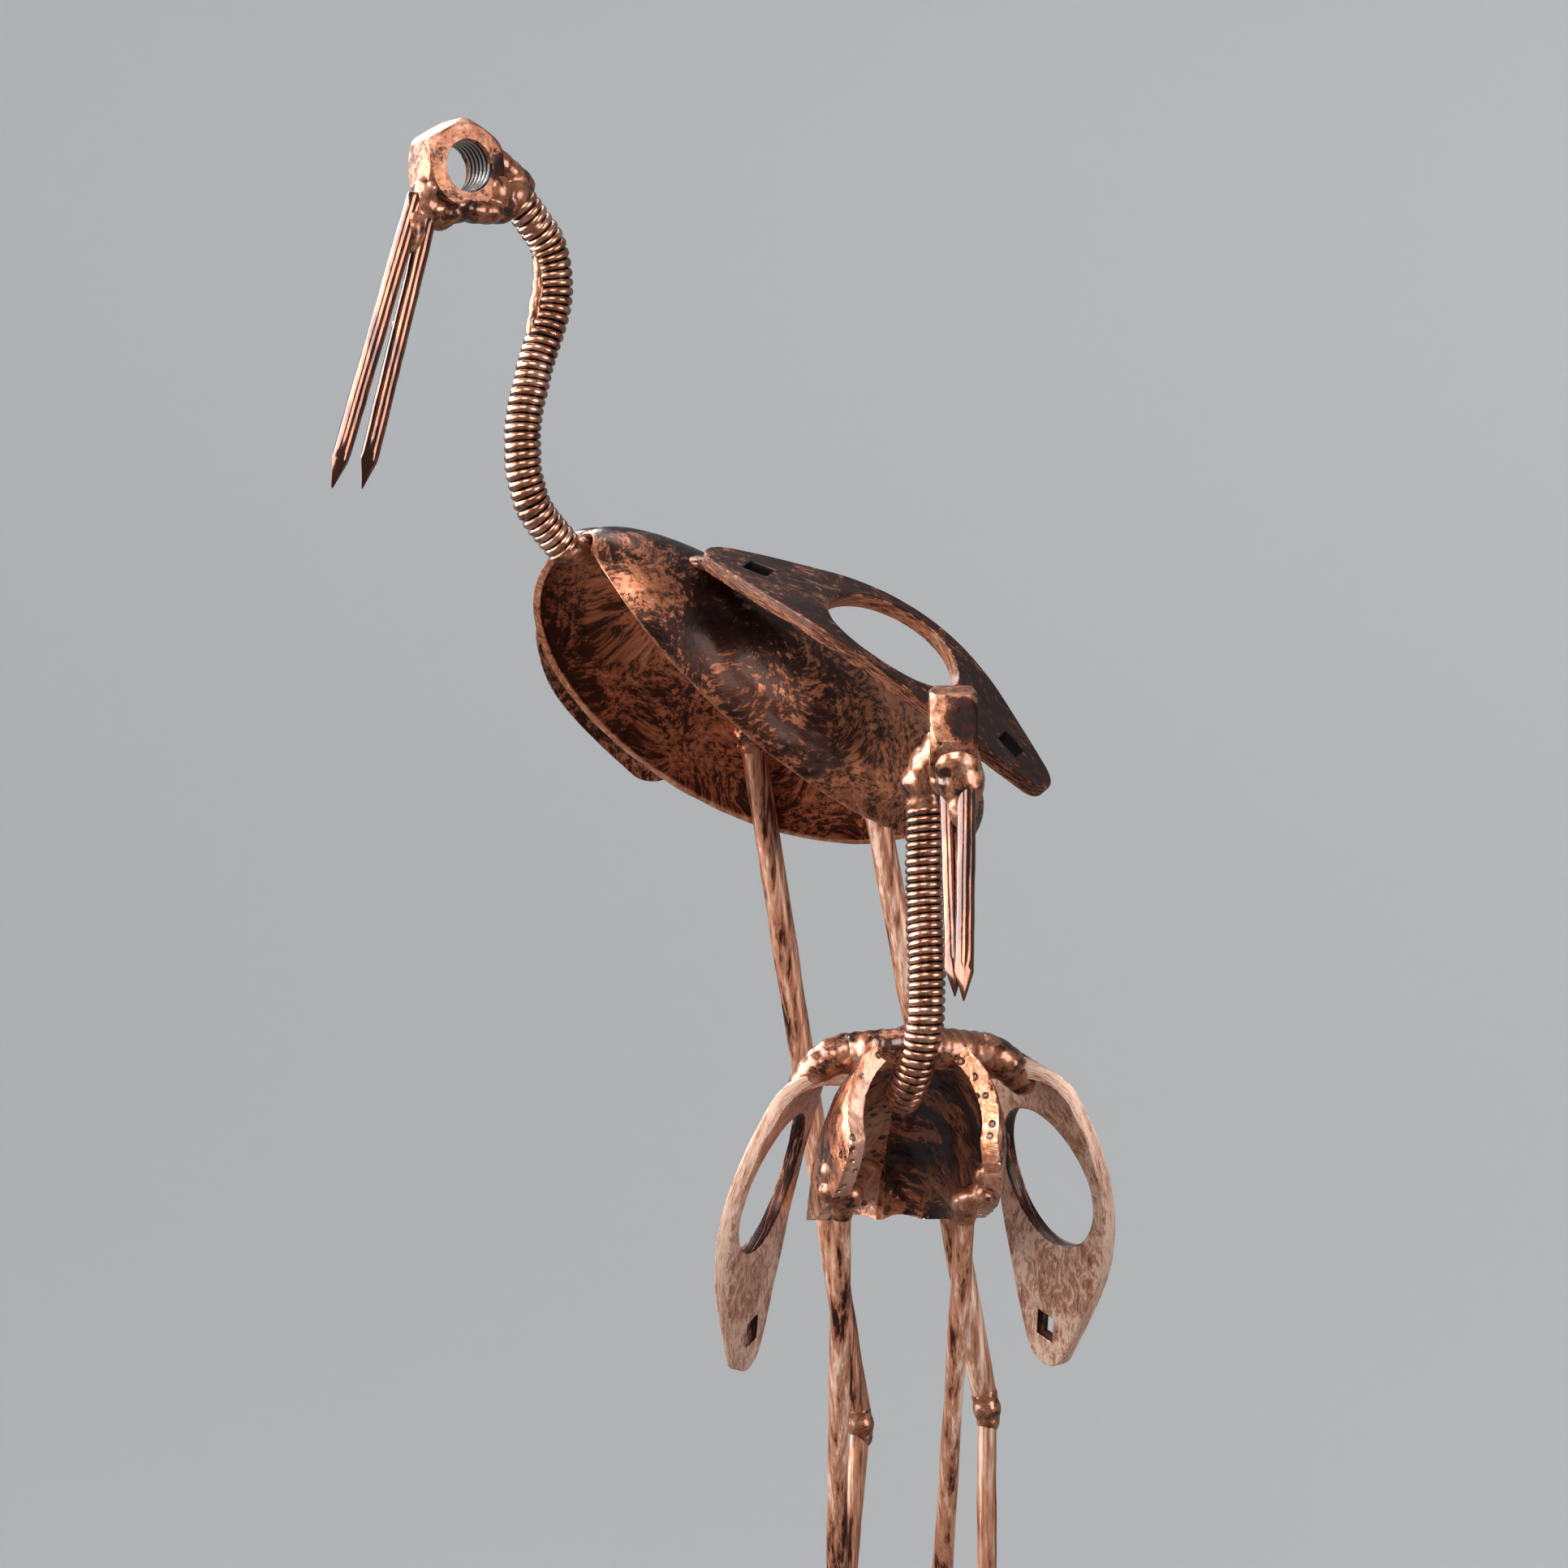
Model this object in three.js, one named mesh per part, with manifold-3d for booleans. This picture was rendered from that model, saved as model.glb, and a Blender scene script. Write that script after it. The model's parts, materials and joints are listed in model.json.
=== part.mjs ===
// Two garden cranes welded from hardware scrap, standing together on one low steel plate.
// Millimetres, +Z up. The origin is the middle of the plate's underside.
// Each crane is built in a frame of its own: x towards its beak, y to its left, z up from
// the plate's underside. A group then turns the crane and stands it in its place.

import * as THREE from "three";
import { mergeVertices } from "three/addons/utils/BufferGeometryUtils.js";
import Module from "manifold-3d";

const wasm = await Module();
wasm.setup();

// Stock that both cranes share
const GAP = 0.3; // clearance between pieces that touch
const NUT = { acrossFlats: 30, thickness: 16, hole: 18, chamfer: 1.6 };
const NAIL = { radius: 3.2, point: 14, sides: 10 };
const SPRING = { radius: 6.6, steps: 13 };
const ROD_SIDES = 8;
const WING = {
  length: 150, width: 66, endRadius: 12, thickness: 5, hole: 53, square: 9,
  rootInset: 20, bowLength: 76, // how far in the root's square hole is, and the stretch that is bowed
};
const TOE = { radius: 3.4, length: 28, lift: 9, spread: 27, sides: 6 };
const PLATE = { width: 200, depth: 250, thickness: 8, corner: 18, edge: 1 };

// Finish colours, antique copper brushed over black
const FINISH = {
  copper: { color: 0x8a4b2c, roughness: 0.42, metalness: 0.75 },
  lacquer: { color: 0x6b2a18, roughness: 0.25, metalness: 0.7 },
  blackened: { color: 0x3a2a24, roughness: 0.5, metalness: 0.7 },
};

// A body is an oval, hung from its front point and sloping down to the tail. Its ridge rises above
// that slope, and its free rims drop below it and spread to each side. Lead shifts a swelling
// towards the breast (under 1) or the tail (over 1), and a blunt under 1 makes its ends fuller.
// The breast is cut off at an angle of the oval, and droop bends the tail down.
const TALL = {
  name: "tall_crane",
  place: [25, 55],
  heading: 215,
  head: { at: [212.5, 0, 644.5], pitch: 0, yaw: 0 },
  nails: [
    { name: "upper_beak_nail", root: [228.5, 0, 634], tip: [262.5, 0, 530.3] },
    { name: "lower_beak_nail", root: [223.5, 0, 628], tip: [250.6, 0, 530.4] },
  ],
  crest: [{ at: [191, 0, 642], size: [9, 6, 8] }, { at: [190, 0, 635], size: [8, 7, 7] }],
  beakWeld: [{ at: [224.5, 0, 629], size: [7, 6, 8] }],
  neck: [
    [187, 0, 634.5], [174, 0, 618], [172.5, 0, 600], [181, 0, 574], [185.5, 0, 549], [181.5, 0, 529],
    [166.5, 0, 511.5],
  ],
  neckRoot: { at: [163, 0, 513], size: [9, 7, 6] },
  body: {
    front: [163, 516], slope: 29.3, length: 198, wall: 2, bulge: 21, breast: 0.1, droop: 0,
    ridge: { size: 26, lead: 1, blunt: 1 },
    drop: { size: 41, lead: 1, blunt: 1 },
    spread: { size: 45, lead: 0.9, blunt: 0.7 },
  },
  wings: [
    { side: "left", heart: [84, 84, 481.5], along: [-0.6, 0.56, -0.57], across: [-0.78, -0.57, 0.27] },
    { side: "right", heart: [86, 87, 487], along: [-0.57, 0.59, -0.57], across: [-0.8, -0.54, 0.27] },
  ],
  wingShape: { tipInset: 20, bow: 28, tab: 0, turn: 0, fold: 0 },
  shoulder: { at: [127, 26, 508], size: [8, 7, 5] },
  legRadius: 4.6,
  shankRadius: 3.6,
  legs: [
    { side: "left", hip: [62, 36, 440], knee: [8, 36, 202], foot: [8, 36] },
    { side: "right", hip: [63, -36, 449], knee: [13, -36, 189], foot: [30, -36] },
  ],
  hipWeld: [8, 6, 8],
};

const SMALL = {
  name: "small_crane",
  place: [6, -60],
  heading: 276,
  head: { at: [60, 9.7, 447], pitch: 16, yaw: -6 },
  nails: [
    { name: "upper_beak_nail", root: [68, 13.5, 438], tip: [92, 9, 357] },
    { name: "lower_beak_nail", root: [61, 8, 432], tip: [82, 7.5, 358] },
  ],
  crest: [{ at: [43, -1, 441], size: [8, 7, 8] }, { at: [46, 3, 432], size: [9, 8, 7] }],
  beakWeld: [{ at: [65, 10.5, 432], size: [7, 7, 7] }],
  neck: [
    [45, 2, 430], [46, 2, 415], [47, 2, 390], [51, 2, 363], [51, 1, 346], [44, -2, 330], [33, -5, 321],
  ],
  neckRoot: { at: [51, 0, 345], size: [10, 13, 4.5] },
  body: {
    front: [58, 338], slope: 22, length: 140, wall: 4, bulge: 14, breast: 0.45, droop: 18,
    ridge: { size: 22, lead: 0.8, blunt: 0.8 },
    drop: { size: 38, lead: 0.6, blunt: 1.8 },
    spread: { size: 30, lead: 1.1, blunt: 0.2 },
  },
  wings: [
    { side: "left", heart: [-2, 56, 294], along: [-0.42, 0.15, -0.89], across: [-0.836, -0.458, 0.301] },
    { side: "right", heart: [-2, 50, 293], along: [-0.43, 0.18, -0.88], across: [-0.836, -0.458, 0.301] },
  ],
  wingShape: { tipInset: 15, bow: 20, tab: 34, turn: 24, fold: 75 },
  shoulder: { at: [33, 20, 342], size: [8, 11, 5.5] },
  legRadius: 3.5,
  shankRadius: 3.3,
  legs: [
    { side: "left", hip: [26, 19, 286], knee: [-8, 15, 143], foot: [-5, 14] },
    { side: "right", hip: [26, -24, 288], knee: [-8, -22, 143], foot: [-5, -22] },
  ],
  hipWeld: [8, 7, 6],
};

// Boolean helpers

function toSolid(geometry) {
  const bare = geometry.clone();
  bare.deleteAttribute("normal");
  bare.deleteAttribute("uv");
  const merged = mergeVertices(bare, 1e-4);
  return new wasm.Manifold(new wasm.Mesh({
    numProp: 3,
    vertProperties: Float32Array.from(merged.attributes.position.array),
    triVerts: Uint32Array.from(merged.index.array),
  }));
}

function toGeometry(solid) {
  const mesh = solid.getMesh();
  const geometry = new THREE.BufferGeometry();
  geometry.setAttribute("position", new THREE.BufferAttribute(mesh.vertProperties, 3));
  geometry.setIndex(new THREE.BufferAttribute(mesh.triVerts, 1));
  return geometry;
}

function join(solids) {
  return solids.reduce((all, solid) => all.add(solid));
}

// Cuts the tools away and keeps the largest piece that is left, without crumbs
function cut(solid, tools) {
  const pieces = tools.reduce((rest, tool) => rest.subtract(tool), solid).decompose();
  return pieces.sort((a, b) => b.volume() - a.volume())[0];
}

// Places a solid made around the origin by a matrix whose columns are its three axes and its place
function placed(geometry, xAxis, yAxis, zAxis, at) {
  return geometry.applyMatrix4(new THREE.Matrix4().makeBasis(xAxis, yAxis, zAxis).setPosition(at));
}

const vec = (list) => new THREE.Vector3(...list);
const radians = THREE.MathUtils.degToRad;

// Rods, nails and the spring neck

function rod(from, to, radius, sides = ROD_SIDES) {
  const start = vec(from);
  const end = vec(to);
  const geometry = new THREE.CylinderGeometry(radius, radius, start.distanceTo(end), sides);
  const turn = new THREE.Quaternion().setFromUnitVectors(
    new THREE.Vector3(0, 1, 0), end.clone().sub(start).normalize());
  geometry.applyQuaternion(turn);
  return geometry.translate(...start.clone().lerp(end, 0.5).toArray());
}

// A round shank whose end four flats pinch to a point
function nail(from, to, grow = 0) {
  const radius = NAIL.radius + grow;
  const corner = radius * Math.SQRT2;
  const length = vec(from).distanceTo(vec(to));
  const pencil = new THREE.LatheGeometry([
    new THREE.Vector2(0, -grow), new THREE.Vector2(corner, -grow),
    new THREE.Vector2(corner, length - NAIL.point), new THREE.Vector2(0, length + grow),
  ], 4);
  const turn = new THREE.Quaternion().setFromUnitVectors(
    new THREE.Vector3(0, 1, 0), vec(to).sub(vec(from)).normalize());
  pencil.applyQuaternion(turn).translate(...from);
  const far = vec(from).lerp(vec(to), 2).toArray();
  const near = vec(from).lerp(vec(to), -1).toArray();
  return toSolid(rod(near, far, radius, NAIL.sides)).intersect(toSolid(pencil));
}

function springNeck(points, grow = 0) {
  const path = new THREE.CatmullRomCurve3(points.map(vec));
  const circle = new THREE.Shape().absarc(0, 0, SPRING.radius + grow, 0, 2 * Math.PI);
  return new THREE.ExtrudeGeometry(circle, {
    extrudePath: path, steps: SPRING.steps, curveSegments: 4, bevelEnabled: false,
  });
}

// A hexagon nut on its side: its hole is the eye, and one flat faces forward
function nut(head, grow = 0) {
  const half = NUT.thickness / 2 + grow;
  const flat = NUT.acrossFlats / 2 + grow;
  const corner = flat / Math.cos(Math.PI / 6);
  const hexagon = new THREE.Shape(Array.from({ length: 6 }, (_, i) => new THREE.Vector2(
    corner * Math.cos(radians(30 + 60 * i)), corner * Math.sin(radians(30 + 60 * i)))));
  const hole = new THREE.Path().absarc(0, 0, NUT.hole / 2 - grow, 0, 2 * Math.PI, true);
  hexagon.holes.push(hole);
  const prism = new THREE.ExtrudeGeometry(hexagon, { depth: 2 * half, bevelEnabled: false, curveSegments: 8 });
  prism.translate(0, 0, -half).rotateX(Math.PI / 2);
  const rim = flat * 0.97;
  const chamfer = new THREE.LatheGeometry([
    new THREE.Vector2(0, -half), new THREE.Vector2(rim, -half),
    new THREE.Vector2(corner * 1.01, -half + NUT.chamfer), new THREE.Vector2(corner * 1.01, half - NUT.chamfer),
    new THREE.Vector2(rim, half), new THREE.Vector2(0, half),
  ], 18);
  const solid = toSolid(prism).intersect(toSolid(chamfer));
  const geometry = toGeometry(solid);
  geometry.rotateY(radians(-head.pitch)).rotateZ(radians(head.yaw)).translate(...head.at);
  return toSolid(geometry);
}

// A lump of weld metal: an uneven ball, drawn out to its size
function lump({ at, size }) {
  const ball = new THREE.IcosahedronGeometry(1, 1);
  const position = ball.attributes.position;
  const point = new THREE.Vector3();
  for (let i = 0; i < position.count; i += 1) {
    point.fromBufferAttribute(position, i);
    const ripple = 1 + 0.07 * Math.sin(5 * point.x + at[0]) * Math.cos(4 * point.z + at[2])
      + 0.05 * Math.sin(7 * point.y + 3 * point.x);
    point.multiplyScalar(ripple).multiply(vec(size)).add(vec(at));
    position.setXYZ(i, point.x, point.y, point.z);
  }
  return toSolid(ball);
}

// One half of the body: a deep oval spoon whose upper rim lies along the back

const SHELL_STEPS = 15;
const SHELL_ARC_STEPS = 5;
const END_ANGLE = 0.1; // stops the oval just short of its pointed tail

// How far a swelling of the body has risen, from 0 at its ends to its full size
function swell({ size, lead, blunt }, angle) {
  return size * Math.sin(Math.PI * (angle / Math.PI) ** lead) ** blunt;
}

// A point of the shell's outer face: angle runs from breast to tail, arc from ridge to free rim
function shellPoint(body, side, angle, arc) {
  const slope = radians(body.slope);
  const along = body.length * (1 - Math.cos(angle)) / 2;
  const ridge = new THREE.Vector2(-swell(body.ridge, angle), 0);
  const rim = new THREE.Vector2(swell(body.drop, angle), swell(body.spread, angle));
  const chord = rim.clone().sub(ridge);
  const length = chord.length();
  const sag = body.bulge * length / Math.hypot(body.ridge.size + body.drop.size, body.spread.size);
  const radius = (length * length / 4 + sag * sag) / (2 * sag);
  const half = Math.asin(Math.min(1, length / (2 * radius)));
  const turn = half * (2 * arc - 1);
  const unit = chord.clone().normalize();
  const outward = new THREE.Vector2(-unit.y, unit.x);
  const middle = ridge.clone().add(rim).multiplyScalar(0.5);
  const flat = middle.addScaledVector(unit, radius * Math.sin(turn))
    .addScaledVector(outward, radius * (Math.cos(turn) - Math.cos(half)));
  flat.x += body.droop * (along / body.length) ** 2;
  return new THREE.Vector3(
    body.front[0] - along * Math.cos(slope) + flat.x * Math.sin(slope),
    side * (flat.y + GAP / 2),
    body.front[1] - along * Math.sin(slope) - flat.x * Math.cos(slope));
}

function shell(body, side, grow = 0) {
  const step = 1e-3;
  const vertices = [];
  const columns = SHELL_ARC_STEPS + 1;
  const rows = SHELL_STEPS + 1;
  const corner = (i, j, inner) => ((inner ? rows : 0) + i) * columns + j;
  const start = body.breast - grow * END_ANGLE;
  const end = Math.PI - END_ANGLE + grow * END_ANGLE;
  const overhang = grow / 40;
  for (const depth of [-grow, body.wall + grow]) {
    for (let i = 0; i < rows; i += 1) {
      const angle = start + (end - start) * i / SHELL_STEPS;
      for (let j = 0; j < columns; j += 1) {
        const arc = (1 + 2 * overhang) * j / SHELL_ARC_STEPS - overhang;
        const point = shellPoint(body, side, angle, arc);
        const lengthways = shellPoint(body, side, angle + step, arc).sub(point);
        const crossways = shellPoint(body, side, angle, arc + step).sub(point);
        const inward = lengthways.cross(crossways).normalize().multiplyScalar(side);
        point.addScaledVector(inward, depth);
        point.y = side * Math.max(side * point.y, GAP / 2 - grow);
        vertices.push(...point.toArray());
      }
    }
  }
  const faces = [];
  const quad = (a, b, c, d) => faces.push(a, b, c, a, c, d);
  for (let i = 0; i < SHELL_STEPS; i += 1) {
    for (let j = 0; j < SHELL_ARC_STEPS; j += 1) {
      quad(corner(i, j, false), corner(i, j + 1, false), corner(i + 1, j + 1, false), corner(i + 1, j, false));
      quad(corner(i, j, true), corner(i + 1, j, true), corner(i + 1, j + 1, true), corner(i, j + 1, true));
    }
    const last = SHELL_ARC_STEPS;
    quad(corner(i, 0, false), corner(i + 1, 0, false), corner(i + 1, 0, true), corner(i, 0, true));
    quad(corner(i, last, false), corner(i, last, true), corner(i + 1, last, true), corner(i + 1, last, false));
  }
  for (let j = 0; j < SHELL_ARC_STEPS; j += 1) {
    const tail = SHELL_STEPS;
    quad(corner(0, j, false), corner(0, j, true), corner(0, j + 1, true), corner(0, j + 1, false));
    quad(corner(tail, j, false), corner(tail, j + 1, false), corner(tail, j + 1, true), corner(tail, j, true));
  }
  if (side < 0) faces.reverse();
  const geometry = new THREE.BufferGeometry();
  geometry.setAttribute("position", new THREE.Float32BufferAttribute(vertices, 3));
  geometry.setIndex(faces);
  return toSolid(geometry);
}

// A wing plate: a flat leaf with rounded ends, one big round hole and a square hole near each end

function wingOutline(grow) {
  const half = WING.length / 2;
  const end = WING.endRadius + grow;
  const bow = WING.width / 2 + grow;
  const shape = new THREE.Shape();
  const centre = half - WING.endRadius;
  const lean = 0.42; // the angle at which the sides meet the rounded ends
  const endX = centre + end * Math.sin(lean);
  const endY = end * Math.cos(lean);
  shape.moveTo(-endX, -endY);
  shape.bezierCurveTo(-centre * 0.62, -bow * 0.78, -centre * 0.36, -bow, 0, -bow);
  shape.bezierCurveTo(centre * 0.36, -bow, centre * 0.62, -bow * 0.78, endX, -endY);
  shape.absarc(centre, 0, end, lean - Math.PI / 2, Math.PI / 2 - lean, false);
  shape.bezierCurveTo(centre * 0.62, bow * 0.78, centre * 0.36, bow, 0, bow);
  shape.bezierCurveTo(-centre * 0.36, bow, -centre * 0.62, bow * 0.78, -endX, endY);
  shape.absarc(-centre, 0, end, Math.PI / 2 + lean, 1.5 * Math.PI - lean, false);
  return shape;
}

function squareHole(x, grow) {
  const half = WING.square / 2 - grow;
  return new THREE.Path([
    new THREE.Vector2(x - half, -half), new THREE.Vector2(x - half, half),
    new THREE.Vector2(x + half, half), new THREE.Vector2(x + half, -half),
  ]);
}

// Where the bent plate's top face runs, at a distance s from its middle: its place and its slope.
// A tab at the root is rolled on past the bow, in degrees and over a stretch that fold and turn give.
function wingBow(s, { bow, tab, turn, fold }) {
  const straight = WING.bowLength / 2;
  const bend = radians(bow) / 2;
  const radius = straight / bend;
  const bowed = THREE.MathUtils.clamp(s, -straight, straight);
  const angle = bowed / radius;
  const rest = s - bowed;
  const place = new THREE.Vector2(
    radius * Math.sin(angle) + rest * Math.cos(angle), radius * (Math.cos(angle) - 1) - rest * Math.sin(angle));
  const over = -s - (WING.length / 2 - tab);
  if (over <= 0 || fold === 0) return { place, slope: -angle };
  const start = wingBow(s + over, { bow, tab, turn, fold: 0 });
  const rolled = radians(fold) * Math.min(1, over / turn);
  const curl = turn / radians(fold);
  const beyond = Math.max(0, over - turn);
  const run = curl * Math.sin(rolled) + beyond * Math.cos(rolled);
  const dip = curl * (1 - Math.cos(rolled)) + beyond * Math.sin(rolled);
  const cos = Math.cos(start.slope);
  const sin = Math.sin(start.slope);
  place.copy(start.place).add(new THREE.Vector2(-cos * run + sin * dip, -sin * run - cos * dip));
  return { place, slope: start.slope + rolled };
}

function wingPlate(wing, form, grow = 0) {
  const outline = wingOutline(grow);
  const half = WING.length / 2;
  const ring = new THREE.Path().absarc(0, 0, WING.hole / 2 - grow, 0, 2 * Math.PI, true);
  outline.holes.push(new THREE.Path(ring.getPoints(10)));
  outline.holes.push(squareHole(WING.rootInset - half, grow), squareHole(half - form.tipInset, grow));
  const flat = toSolid(new THREE.ExtrudeGeometry(outline, {
    depth: WING.thickness + 2 * grow, bevelEnabled: false, curveSegments: 5,
  }).translate(0, 0, -WING.thickness - grow));
  const steps = 9;
  const strip = (WING.length + 2) / steps;
  const strips = Array.from({ length: steps }, (_, i) => {
    const middle = strip * (i + 0.5) - WING.length / 2 - 1;
    const slice = new THREE.BoxGeometry(strip, 2 * WING.width, 4 * WING.thickness).translate(middle, 0, 0);
    const geometry = toGeometry(flat.intersect(toSolid(slice)));
    const position = geometry.attributes.position;
    for (let k = 0; k < position.count; k += 1) {
      const { place, slope } = wingBow(position.getX(k), form);
      const height = position.getZ(k);
      position.setXYZ(k, place.x - height * Math.sin(slope), position.getY(k), place.y + height * Math.cos(slope));
    }
    return toSolid(geometry);
  });
  const along = vec(wing.along).normalize();
  const outward = along.clone().cross(vec(wing.across)).normalize();
  const across = outward.clone().cross(along);
  const solid = toSolid(placed(toGeometry(join(strips)), along, across, outward, vec(wing.heart)));
  return wing.side === "left" ? solid : solid.mirror([0, 1, 0]);
}

// A foot: three toes forward and one back, each dropping from the ankle to the plate
function foot([x, y], grow = 0) {
  const low = PLATE.thickness + GAP + TOE.radius;
  const ankle = [x, y, low + TOE.lift];
  const toes = [-1, 0, 1, 3].map((step) => {
    const angle = step === 3 ? Math.PI : radians(step * TOE.spread);
    const reach = step === 3 ? 0.6 * TOE.length : TOE.length;
    const tip = [x + reach * Math.cos(angle), y + reach * Math.sin(angle), low];
    return toSolid(rod(ankle, tip, TOE.radius + grow, TOE.sides));
  });
  const knuckle = toSolid(new THREE.OctahedronGeometry(TOE.radius * 1.7 + grow, 1).translate(...ankle));
  const floor = new THREE.BoxGeometry(200, 200, 100).translate(x, y, PLATE.thickness + GAP - 50);
  return cut(join([...toes, knuckle]), [toSolid(floor)]);
}

// Puts one crane together in its own frame

function crane(spec) {
  const group = new THREE.Group();
  const add = (piece, solid, finish) => {
    const mesh = new THREE.Mesh(toGeometry(solid), new THREE.MeshStandardMaterial(FINISH[finish]));
    mesh.name = `${spec.name}_${piece}`;
    group.add(mesh);
  };
  const sides = [{ side: "left", sign: 1 }, { side: "right", sign: -1 }];
  const neckSolid = (grow) => toSolid(springNeck(spec.neck, grow));
  const nailSolid = (i, grow) => nail(spec.nails[i].root, spec.nails[i].tip, grow);
  const shells = (grow) => sides.map(({ sign }) => shell(spec.body, sign, grow));
  const wings = (grow) => spec.wings.map((wing) => wingPlate(wing, spec.wingShape, grow));

  add("head_nut", nut(spec.head), "lacquer");
  add("neck_spring", cut(neckSolid(0), [nut(spec.head, GAP), ...shells(GAP)]), "lacquer");
  add(spec.nails[0].name, cut(nailSolid(0, 0), [nut(spec.head, GAP)]), "lacquer");
  add(spec.nails[1].name, cut(nailSolid(1, 0), [nut(spec.head, GAP), nailSolid(0, GAP)]), "lacquer");
  add("crest_weld", cut(join(spec.crest.map(lump)), [nut(spec.head, GAP), neckSolid(GAP)]), "lacquer");
  const beakTools = [nut(spec.head, GAP), nailSolid(0, GAP), nailSolid(1, GAP)];
  add("beak_weld", cut(join(spec.beakWeld.map(lump)), beakTools), "lacquer");
  add("neck_root_weld", cut(lump(spec.neckRoot), [neckSolid(GAP), ...shells(GAP), ...wings(GAP)]), "lacquer");

  for (const { side, sign } of sides) {
    add(`${side}_body_shell`, shell(spec.body, sign), "copper");
    const wing = spec.wings.find((entry) => entry.side === side);
    add(`${side}_wing_plate`, cut(wingPlate(wing, spec.wingShape), shells(GAP)), "blackened");
    const { at, size } = spec.shoulder;
    const bead = lump({ at: [at[0], sign * at[1], at[2]], size });
    add(`${side}_shoulder_weld`, cut(bead, [...shells(GAP), ...wings(GAP), neckSolid(GAP)]), "lacquer");
  }

  for (const leg of spec.legs) {
    const ankle = [...leg.foot, PLATE.thickness + GAP + TOE.radius + TOE.lift];
    const thigh = (grow) => toSolid(rod(leg.knee, leg.hip, spec.legRadius + grow));
    const shank = (grow) => toSolid(rod(ankle, leg.knee, spec.shankRadius + grow));
    const knee = { at: leg.knee, size: [6, 6, 7.5] };
    const hip = { at: leg.hip, size: spec.hipWeld };
    add(`${leg.side}_thigh`, cut(thigh(0), shells(GAP)), "copper");
    add(`${leg.side}_shank`, cut(shank(0), [thigh(GAP), foot(leg.foot, GAP)]), "copper");
    add(`${leg.side}_knee_weld`, cut(lump(knee), [thigh(GAP), shank(GAP)]), "lacquer");
    add(`${leg.side}_hip_weld`, cut(lump(hip), [thigh(GAP), ...shells(GAP)]), "lacquer");
    add(`${leg.side}_foot`, foot(leg.foot), "copper");
  }
  group.position.set(spec.place[0], spec.place[1], 0);
  group.rotation.z = radians(spec.heading);
  return group;
}

// The low plate that carries both cranes
function standPlate() {
  const x = PLATE.width / 2 - PLATE.corner;
  const y = PLATE.depth / 2 - PLATE.corner;
  const outline = new THREE.Shape();
  outline.absarc(x, y, PLATE.corner - PLATE.edge, 0, Math.PI / 2, false);
  outline.absarc(-x, y, PLATE.corner - PLATE.edge, Math.PI / 2, Math.PI, false);
  outline.absarc(-x, -y, PLATE.corner - PLATE.edge, Math.PI, 1.5 * Math.PI, false);
  outline.absarc(x, -y, PLATE.corner - PLATE.edge, 1.5 * Math.PI, 2 * Math.PI, false);
  const geometry = new THREE.ExtrudeGeometry(outline, {
    depth: PLATE.thickness - 2 * PLATE.edge, curveSegments: 3,
    bevelEnabled: true, bevelThickness: PLATE.edge, bevelSize: PLATE.edge, bevelSegments: 1,
  });
  geometry.translate(0, 0, PLATE.edge);
  const mesh = new THREE.Mesh(geometry, new THREE.MeshStandardMaterial(FINISH.blackened));
  mesh.name = "stand_plate";
  return mesh;
}

const statue = new THREE.Group();
statue.add(standPlate(), crane(TALL), crane(SMALL));

export default statue;
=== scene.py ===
import json
import math

import bpy
from mathutils import Matrix, Vector, noise

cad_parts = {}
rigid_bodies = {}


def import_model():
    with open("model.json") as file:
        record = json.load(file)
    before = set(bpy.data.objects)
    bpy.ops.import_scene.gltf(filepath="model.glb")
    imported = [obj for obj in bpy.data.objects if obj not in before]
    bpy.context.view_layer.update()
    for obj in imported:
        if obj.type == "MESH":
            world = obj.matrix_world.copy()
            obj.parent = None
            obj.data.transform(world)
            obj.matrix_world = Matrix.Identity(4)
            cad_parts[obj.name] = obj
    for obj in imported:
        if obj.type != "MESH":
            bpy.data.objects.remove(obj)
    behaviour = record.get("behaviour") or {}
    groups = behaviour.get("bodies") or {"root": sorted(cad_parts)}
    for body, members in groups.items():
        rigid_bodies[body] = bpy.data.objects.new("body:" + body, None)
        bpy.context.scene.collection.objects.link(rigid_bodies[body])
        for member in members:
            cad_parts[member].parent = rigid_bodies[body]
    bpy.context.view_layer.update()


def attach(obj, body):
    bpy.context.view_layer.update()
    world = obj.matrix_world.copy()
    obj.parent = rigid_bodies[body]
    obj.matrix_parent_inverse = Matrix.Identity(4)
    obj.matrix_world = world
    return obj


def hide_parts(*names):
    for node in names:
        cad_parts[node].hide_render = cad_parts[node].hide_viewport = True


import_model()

bl_info = {
    "name": "Scrap-metal garden cranes",
    "version": (1, 0, 0),
    "blender": (4, 5, 0),
    "location": "3D View > Sidebar > Cranes",
    "description": "Builds a pair of welded garden cranes from nuts, nails, springs, shells, plates and rods",
    "category": "Object",
}

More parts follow.
